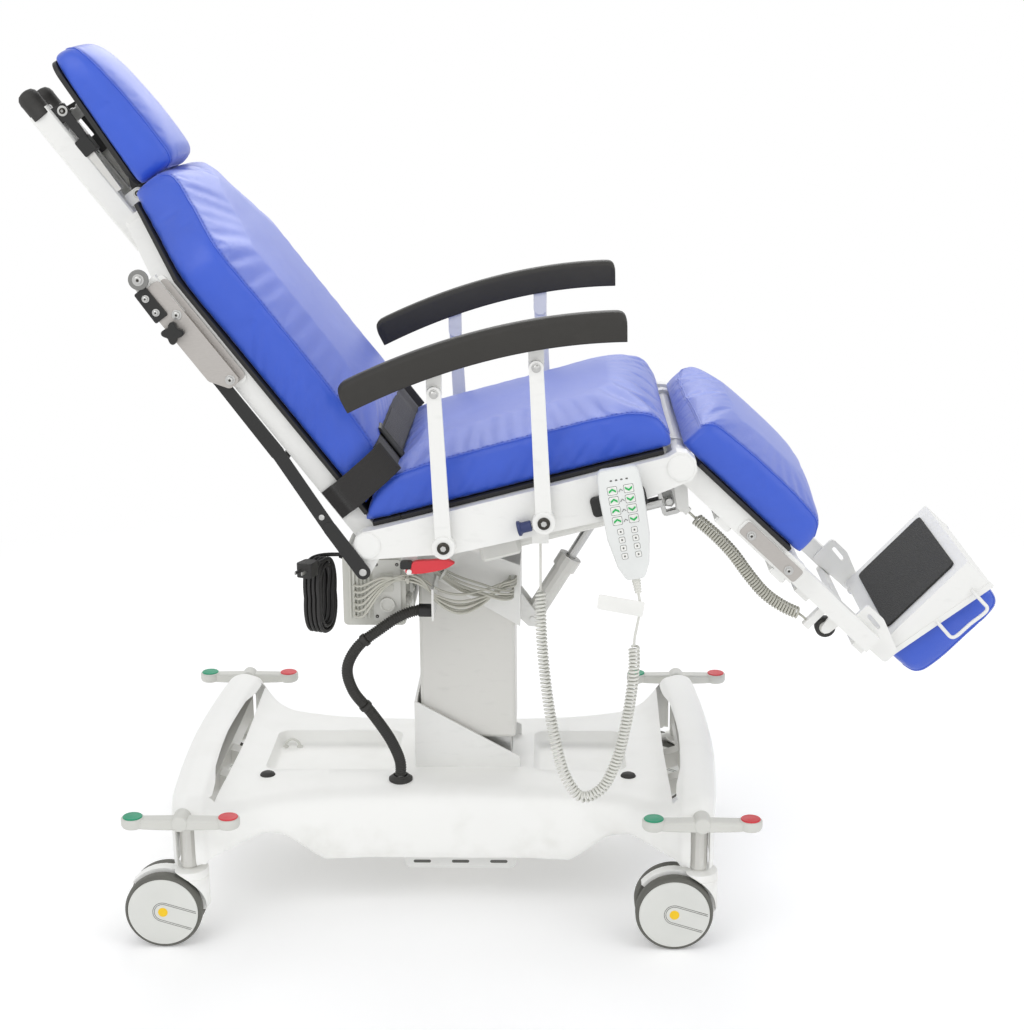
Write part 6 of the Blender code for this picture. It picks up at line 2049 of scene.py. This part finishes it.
@dataclass
class BackFittings:
    """Steel plates, clamp blocks, star knobs and black stay bars beside the back."""

    bar: float = 0.2537
    pin: tuple[float, float] = (-0.226, 0.626)

    @staticmethod
    def bolt(shape: Shape, spot: Vector, side: int, radius: float) -> None:
        """Washer and hex-socket bolt on a side face.

        Args:
            shape: the shape that takes it.
            spot: middle of its seat.
            side: sign of y.
            radius: radius of the washer.
        """
        shape.use(STEEL).lathe([(radius, 0.0), (radius * 0.97, 0.0012), (radius * 0.72, 0.0014)],
                               spot, (0, side, 0), 32)
        shape.lathe([(radius * 0.66, 0.0013), (radius * 0.62, 0.0044), (radius * 0.45, 0.005)],
                    spot, (0, side, 0), 28)
        shape.use(SCREW).lathe([(radius * 0.3, 0.0046), (radius * 0.28, 0.0052)], spot, (0, side, 0), 6)

    def plates(self, hand: Hand) -> None:
        """Steel plate with two bolts, the grey eye, a black clamp block and its star knob.

        Args:
            hand: the side.
        """
        side = hand.value
        shape = Shape(SILVER)
        shape.slab(BACK.plate((0.317, 0.508), (-0.0155, 0.0145), 0.008), side, 0.2526, 0.2534)
        shape.slab(BACK.plate((0.32, 0.504), (-0.008, 0.004), 0.004), side, 0.254, 0.265)
        face = BACK.outline(((0.317, -0.016), (0.346, -0.035), (0.512, -0.035), (0.512, 0.005),
                             (0.317, 0.005)))
        shape.slab(round_corners(face, 0.008), side, 0.2642, 0.2656)
        for a in (0.3276, 0.4535):
            self.bolt(shape, BACK.at(a, -0.007, side * 0.2656), side, 0.008)
        shape.piece(f"back_plate_{hand.word}", Body.BACK, "steel", 0.0008)
        clamp = Shape(BLACK)
        block = BACK.outline(((0.462, -0.04), (0.516, -0.038), (0.516, -0.0165), (0.462, -0.0165)))
        clamp.slab(round_corners(block, 0.003), side, 0.2657, 0.2698)
        for a, b in ((0.5007, -0.0275), (0.4753, -0.0285)):
            self.bolt(clamp, BACK.at(a, b, side * 0.2698), side, 0.006)
        eye = BACK.at(0.529, -0.0165, side * 0.2722)
        clamp.use(EYE).lathe([(0.0155, -0.001), (0.0155, 0.002), (0.0148, 0.0028), (0.009, 0.003)], eye,
                                (0, side, 0), 40)
        self.bolt(clamp, eye + Vector((0.0, side * 0.0028, 0.0)), side, 0.0092)
        clamp.piece(f"clamp_block_{hand.word}", Body.BACK, "black_metal", 0.0008)
        knob = Shape(BLACK)
        middle = BACK.at(0.436, -0.0275)
        rings = []
        for y, k in ((0.2654, 0.5), (0.268, 0.52), (0.2682, 0.92), (0.27, 1.0), (0.279, 1.0), (0.2812, 0.9)):
            rings.append([middle + Vector((math.cos(a), 0.0,
                                           math.sin(a))) * k * (0.014 + 0.0032 * math.cos(4 * a))
                          + Vector((0.0, side * y, 0.0)) for a in (2 * math.pi * i / 64 for i in range(64))])
        knob.loft(rings)
        knob.piece(f"star_knob_{hand.word}", Body.BACK, "black_metal", 0.0, (), 50.0)

    def stays(self) -> None:
        """Flat black bars on both sides with a finger notch, a hole and a pin, tied across."""
        shape = Shape(BLACK)
        low, high = BACK.flat(0.196, -0.025), BACK.flat(0.343, -0.0232)
        for hand in Hand:
            side = hand.value
            shape.use(BLACK)
            shape.slab(bar_outline(low, high, 0.0112, 0.0098, 20), side, self.bar, 0.2586)
            finger = bar_outline(BACK.flat(0.334, -0.0285), BACK.flat(0.356, -0.0305), 0.0046, 0.004, 10)
            shape.slab(finger, side, self.bar + 0.0004, 0.2582)
            shape.slab(bar_outline(self.pin, BACK.flat(0.056, -0.027), 0.0116, 0.0108, 20), side,
                       0.2934, 0.2966)
            jog = ((0.05, -0.0272, 0.2938, 0.2962), (0.06, -0.0268, 0.2938, 0.2962),
                   (0.19, -0.0252, 0.2541, 0.2582), (0.206, -0.0248, 0.2541, 0.2582))
            shape.loft([[BACK.at(a, b + h, side * y) for h, y in ((-0.0105, y0), (0.0105, y0),
                                                                  (0.0105, y1), (-0.0105, y1))]
                        for a, b, y0, y1 in jog])
            shape.use(STEEL)
            for spot, r, y in ((BACK.at(0.078, -0.0268), 0.0048, 0.2908),
                               (Vector((self.pin[0], 0.0, self.pin[1])), 0.0062, 0.296)):
                shape.lathe([(r, y), (r * 0.95, y + 0.0016), (r * 0.5, y + 0.0022)], spot, (0, side, 0), 28)
            shape.use(BLACK)
        shape.across(BACK.flat(0.18, -0.0255), -0.258, 0.258, 0.006)
        shape.piece("stay_bars", Body.STAY, "black_metal", 0.001, ("back_link",))

    def build(self) -> None:
        """Both sides and the stay."""
        for hand in Hand:
            self.plates(hand)
        self.stays()


@dataclass
class Belt:
    """Webbing lap belt from rail to rail over the back cushion, with a slide buckle."""

    wide: float = 0.052
    thick: float = 0.0022
    start: float = 0.078
    lean: float = -0.07
    rise: float = 0.009
    threads: int = 25
    buckled: tuple[int, int] = (40, 44)

    def middle(self, q: Vector) -> float:
        """Place of the strap's middle along the back, at across and above of its section."""
        return self.start - self.lean * max(q.y, 0.0) + self.rise * max(0.0, 1.0 - (q.x / 0.24) ** 2)

    def route(self) -> list[tuple[float, float]]:
        """Middle line as pairs of across and above in the back's frame, laid on the cushion.

        Returns:
            The pairs, from rail to rail.
        """
        bpy.context.view_layer.update()
        graph = bpy.context.evaluated_depsgraph_get()
        tree = BVHTree.FromObject(bpy.data.objects["back_pad"].evaluated_get(graph), graph)
        half = [(-0.2512, -0.012), (-0.252, 0.004), (-0.264, 0.018), (-0.269, 0.055), (-0.268, 0.085)]
        for y in (-0.256, -0.245, -0.23, -0.205, -0.17, -0.13, -0.09, -0.045, 0.0):
            tops = []
            for k in (-0.4, 0.0, 0.4):
                spot = BACK.at(self.middle(Vector((y, 0.108))) + k * self.wide, 0.25, y)
                hit = tree.ray_cast(spot, -BACK.above, 0.25)[0]
                if hit is not None:
                    tops.append((hit - BACK.origin).dot(BACK.above))
            half.append((y, max(tops, default=0.11) + 0.0012))
        return half + [(-y, b) for y, b in reversed(half[:-1])]

    def strip(self, shape: Shape, line: Sequence[Vector], wide: float, lift: float) -> None:
        """Flat webbing along a line of the section.

        Args:
            shape: the shape that takes the strip.
            line: across and above of its middle.
            wide: its width.
            lift: how far it lies outside the line.
        """
        rings, reach, run = [], [], 0.0
        for i, p in enumerate(line):
            before, after = line[max(i - 1, 0)], line[min(i + 1, len(line) - 1)]
            way = (after - before).normalized()
            out = Vector((-way.y, way.x))
            run += (p - before).length
            reach.append(run)
            ring = []
            for level, order in ((lift + self.thick, range(self.threads + 1)),
                                 (lift, range(self.threads, -1, -1))):
                q = p + out * level
                for k in order:
                    a = self.middle(q) + wide * (k / self.threads - 0.5)
                    ring.append(BACK.at(a, q.y, q.x))
            rings.append(ring)
        shape.loft(rings, reach=reach)

    def build(self) -> None:
        """Strap, doubled run, and buckle."""
        shape = Shape(STRAP)
        line = smooth([(y, b, 0.0) for y, b in self.route()], 150)
        flat = [Vector((p.x, p.y)) for p in line]
        self.strip(shape, flat, self.wide, 0.0)
        shape.piece("lap_belt", Body.BACK, "webbing", 0.0, ("seat_belt",), 60.0)
        double = Shape(STRAP)
        self.strip(double, flat[44:72], self.wide - 0.006, 0.0026)
        double.piece("lap_belt_tail", Body.BACK, "webbing", 0.0, (), 60.0)
        buckle = Shape(BLACK)
        first, last = (flat[i] for i in self.buckled)
        way = (last - first).normalized()
        out = Vector((-way.y, way.x))
        for share in (0.0, 0.5, 1.0):
            q = first.lerp(last, share) + out * 0.0062
            a, reach = self.middle(q), self.wide / 2 + 0.007
            buckle.tube([BACK.at(a - reach, q.y, q.x), BACK.at(a + reach, q.y, q.x)], 0.0036, 16)
        for side in (-1, 1):
            rail = []
            for share in (-0.3, 0.0, 0.5, 1.0, 1.3):
                q = first.lerp(last, share) + out * 0.0058
                rail.append(BACK.at(self.middle(q) + side * (self.wide / 2 + 0.005), q.y, q.x))
            buckle.tube(rail, 0.0042, 14)
        buckle.piece("belt_buckle", Body.BACK, "black_metal", 0.0008)


# Seat fittings and handset


@dataclass
class SeatFittings:
    """Pivot caps, handset holder and the red release leaf on the seat frame."""

    face: float = 0.2902
    cap: float = 0.0205

    def caps(self) -> None:
        """Round caps over the pivots of back and leg rest."""
        shape = Shape(WHITE)
        r, face = self.cap, self.face
        profile = [(r, face - 0.002), (r, face + 0.0016), (r - 0.0015, face + 0.0026),
                   (r - 0.006, face + 0.0028)]
        for hand in Hand:
            for x, z in (BACK_PIVOT, KNEE_PIVOT):
                shape.lathe(profile, (x, 0.0, z), (0, hand.value, 0), 48)
        shape.piece("pivot_caps", Body.SEAT, "white_paint")

    def holder(self) -> None:
        """Black socket on the rail that takes the handset's hook."""
        shape = Shape(BLACK)
        flat = SEAT.plate((0.35, 0.436), (-0.042, -0.01), 0.007, 8)
        shape.slab(flat, -1, self.face + 0.0003, 0.3)
        shape.piece("handset_holder", Body.SEAT, "black_metal", 0.003)

    def release(self) -> None:
        """Red leaf-shaped lever under the near rail, with its black stop."""
        shape = Shape(RED)
        upper = [Vector(p) for p in ((-0.158, 0.0, 0.633), (-0.146, 0.0, 0.641), (-0.122, 0.0, 0.643),
                                     (-0.096, 0.0, 0.644), (-0.084, 0.0, 0.6385))]
        lower = [Vector(p) for p in ((-0.084, 0.0, 0.6385), (-0.096, 0.0, 0.631), (-0.12, 0.0, 0.6245),
                                     (-0.146, 0.0, 0.6215), (-0.161, 0.0, 0.6245), (-0.158, 0.0, 0.633))]
        leaf = [(p.x, p.z) for p in spline(upper, 6)[:-1] + spline(lower, 6)[:-1]]
        shape.slab(leaf, -1, 0.2785, 0.2905)
        shape.use(BLACK).slab(round_corners([(-0.169, 0.629), (-0.152, 0.629), (-0.15, 0.6415),
                                             (-0.169, 0.6415)], 0.003),
                              -1, 0.2795, 0.2915)
        shape.piece("release_leaf", Body.RELEASE, "red_plastic", 0.003, ("release_lever",))

    def build(self) -> None:
        """All seat fittings."""
        self.caps()
        self.holder()
        self.release()


@dataclass
class Handset:
    """Tapering hand control with rows of keys and a ribbed cord relief."""

    back: float = 0.307
    front: float = 0.333

    def at(self, along: float, above: float, lift: float = 0.0) -> Vector:
        """A point on the handset's face, or above it by a lift."""
        return SET.at(along, above, -self.front - lift)

    def tile(self, shape: Shape, along: float, above: float, size: tuple[float, float], lift: float,
             corner: float = 0.002) -> None:
        """Rounded tile on the face.

        Args:
            shape: the shape that takes it.
            along: place of its middle down the handset.
            above: place of its middle across the handset.
            size: its extent along and across.
            lift: its thickness.
            corner: radius of its corners.
        """
        u, v = size[0] / 2, size[1] / 2
        flat = oblong((-u, u), (-v, v), corner, 5)
        shape.loft([[self.at(along + a, above + b, h) for a, b in flat] for h in (-0.0005, lift)])

    def chevron(self, shape: Shape, along: float, above: float, way: int) -> None:
        """Small arrow head that points up or down the handset.

        Args:
            shape: the shape that takes it.
            along: place of its middle down the handset.
            above: place of its middle across the handset.
            way: sign of its direction.
        """
        flat = ((0.0, -0.0054), (0.0038 * way, 0.0), (0.0, 0.0054), (-0.0032 * way, 0.0054),
                (0.0008 * way, 0.0), (-0.0032 * way, -0.0054))
        shape.loft([[self.at(along - a, above + b, h) for a, b in flat] for h in (0.0003, 0.0012)])

    def body(self) -> None:
        """Moulded shell with its hook and cord relief."""
        shape = Shape(REMOTE)
        rim = [(-0.088, -0.031), (-0.088, 0.031), (-0.045, 0.034), (0.02, 0.0325),
               (0.066, 0.0245), (0.088, 0.014), (0.088, -0.014), (0.066, -0.0245),
               (0.02, -0.0325), (-0.045, -0.034)]
        flat = round_corners(rim, 0.0085, 7)
        rings = []
        for y, k in ((self.back, 0.9), (self.back + 0.003, 0.97), (self.back + 0.009, 1.0),
                     (self.front - 0.006, 1.0), (self.front - 0.0025, 0.985), (self.front - 0.0006, 0.955),
                     (self.front, 0.92)):
            rings.append([SET.at(a * (1 - (1 - k) * 0.4), b * k, -y) for a, b in flat])
        shape.loft(rings)
        ribs = []
        for i in range(15):
            share = i / 14
            ribs.append((0.0085 - 0.003 * share - (0.0014 if i % 2 else 0.0), 0.08 + 0.032 * share))
        shape.use(CORD_PALE).lathe(ribs, SET.at(0.0, 0.0, -SET_Y), SET.along, 28)
        shape.use(REMOTE)
        shape.slab(SET.plate((-0.046, -0.016), (-0.016, 0.006), 0.003), -1, 0.299, 0.308)
        shape.piece("hand_control", Body.SEAT, "pale_plastic", 0.0, ("handset",), 34.0)

    def keys(self) -> None:
        """Printed panel, arrow keys in pairs, and two columns of small keys."""
        shape = Shape(PAPER)
        for row in range(4):
            along = -0.056 + 0.0158 * row
            for way in (-1, 1):
                above = 0.0125 * way
                shape.use(LINE)
                self.tile(shape, along, above, (0.0132, 0.0152), 0.0002)
                shape.use(PAPER)
                self.tile(shape, along, above, (0.012, 0.014), 0.0004)
                shape.use(KEY_GREEN)
                self.chevron(shape, along, above, -way)
            shape.use(LINE)
            shape.tube([self.at(along + 0.003, -0.003, 0.0004), self.at(along - 0.001, 0.0, 0.0004),
                        self.at(along + 0.002, 0.0032, 0.0004)], 0.0005, 6)
        for row in range(4):
            along = 0.009 + 0.013 * row
            for above in (-0.0105, 0.0105):
                shape.use(LINE)
                self.tile(shape, along, above, (0.0096, 0.0096), 0.0002, 0.0022)
                shape.use(PAPER)
                self.tile(shape, along, above, (0.0084, 0.0084), 0.0004, 0.0018)
                shape.use(LINE)
                self.tile(shape, along, above, (0.003, 0.0026), 0.0006, 0.0008)
        for above in (-0.012, -0.004, 0.004, 0.012):
            self.tile(shape, -0.0715, above, (0.0024, 0.0036), 0.0003, 0.0008)
        shape.piece("handset_keys", Body.SEAT, "pale_plastic")

    def tag(self) -> None:
        """Blank tag folded round the cord below the handset."""
        shape = Shape(PAPER)
        corners = [(0.138, 0.6), (0.209, 0.5868), (0.205, 0.5625), (0.135, 0.576)]
        shape.slab(round_corners(corners, 0.003), -1, 0.3224, 0.3231)
        shape.piece("cord_tag", Body.SEAT, "pale_plastic", 0.0002)

    def build(self) -> None:
        """The whole hand control."""
        self.body()
        self.keys()
        self.tag()


# Control box and leg plates


@dataclass
class ControlBox:
    """Control box behind the column: ribbed lid, a panel with a round port, entries and gland."""

    x: tuple[float, float] = (-0.276, -0.1733)
    y: tuple[float, float] = (-0.148, -0.01)
    z: tuple[float, float] = (0.492, 0.612)

    def build(self) -> None:
        """The box as one piece."""
        shape = Shape(SHELL)
        x0, x1 = self.x
        z0, z1 = self.z
        shape.prism(oblong(self.x, self.z, 0.008), self.y[0], self.y[1])
        near = self.y[0]
        for i in range(6):
            x = x0 + 0.01 + 0.0062 * i
            rib = oblong((x, x + 0.0034), (z0 + 0.012, z1 - 0.012), 0.0012, 4)
            shape.prism(rib, near - 0.0035, near + 0.001)
        panel = oblong((-0.226, -0.181), (0.5, 0.604), 0.005)
        shape.use(PALE).prism(panel, near - 0.003, near + 0.001)
        shape.lathe([(0.0125, 0.0), (0.0125, 0.0045), (0.0095, 0.0045), (0.0092, 0.0015)],
                    (-0.2035, near - 0.003, 0.528), (0, -1, 0), 36)
        shape.use(SHELL)
        for z in (0.556, 0.576):
            tile = oblong((-0.214, -0.193), (z - 0.006, z + 0.006), 0.002)
            shape.prism(tile, near - 0.0042, near - 0.002)
        for z in (0.508, 0.596):
            for x in (-0.2205, -0.1865):
                shape.screw((x, near - 0.003, z), (0, -1, 0), 0.0028)
        for y in (-0.132, -0.11, -0.06, -0.036):
            shape.use(PALE).lathe([(0.008, 0.0), (0.008, 0.0035), (0.006, 0.0045), (0.0056, 0.008)],
                                  (x1, y, 0.53), (1, 0, 0), 24)
        shape.use(BLACK).lathe([(0.0125, -0.001), (0.0125, 0.005), (0.011, 0.006),
                                (0.011, 0.011), (0.0095, 0.012)],
                               (x1, *LOOM_PORT), (1, 0, 0), 28)
        shape.lathe([(0.0085, -0.001), (0.0075, 0.0045), (0.006, 0.01)], (x0, *LEAD_PORT), (-1, 0, 0), 24)
        shape.piece("control_unit", Body.HEAD, "pale_plastic", 0.0012, ("control_box",))


@dataclass
class LegFittings:
    """Steel slide plates with bolts on both sides of the leg rest."""

    def build(self) -> None:
        """Plates, bolts and the knee bolt."""
        for hand in Hand:
            side = hand.value
            shape = Shape(SILVER)
            shape.slab(LEG.plate((0.144, 0.264), (-0.0155, 0.0085), 0.005), side, 0.2531, 0.255)
            for s in (0.1625, 0.2444):
                BackFittings.bolt(shape, LEG.at(s, -0.006, side * 0.255), side, 0.0078)
            shape.piece(f"leg_plate_{hand.word}", Body.LEG, "steel", 0.0007)


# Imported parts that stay


@dataclass
class Carried:
    """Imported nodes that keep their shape: softened edges and a finish of their own."""

    looks: tuple[tuple[Finish, tuple[str, ...]], ...] = (
        (GREY, ("base_frame", "column_sleeve", "tilt_actuator")),
        (STEEL, ("column_post", "lift_jack", "lift_screw", "leg_rod", "back_rod", "tilt_rod")),
        (BOARD, ("seat_board", "back_board", "leg_board")),
        (DRIVE, ("leg_actuator", "back_actuator")))
    wide: float = 0.0012

    def build(self, nodes: dict[str, bpy.types.Object]) -> None:
        """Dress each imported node.

        Args:
            nodes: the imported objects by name.
        """
        finishes = {name: finish for finish, names in self.looks for name in names}
        for name, obj in nodes.items():
            finish = finishes.get(name, WHITE)
            obj.data.materials.clear()
            obj.data.materials.append(finish.material())
            weld = obj.modifiers.new("weld", "WELD")
            weld.merge_threshold = 0.00002
            soften(obj, self.wide, 42.0)
            LOG.info("packed part %s", name)


def main() -> None:
    """Build the scene and report each piece."""
    logging.basicConfig(level=logging.INFO, format="%(name)s: %(message)s")
    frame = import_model()
    Studio().build()
    Carried().build(frame["nodes"])
    Cables().build()
    BaseCover().build()
    for end in End:
        BrakeBar(end).build()
        for hand in Hand:
            Castor(end, hand).build()
    for hand in Hand:
        Armrest(hand).build()
    HeadEnd().build()
    BackFittings().build()
    SeatFittings().build()
    Handset().build()
    ControlBox().build()
    LegFittings().build()
    FootBoard().build()
    Upholstery().build()
    Belt().build()


if __name__ == "__main__":
    main()
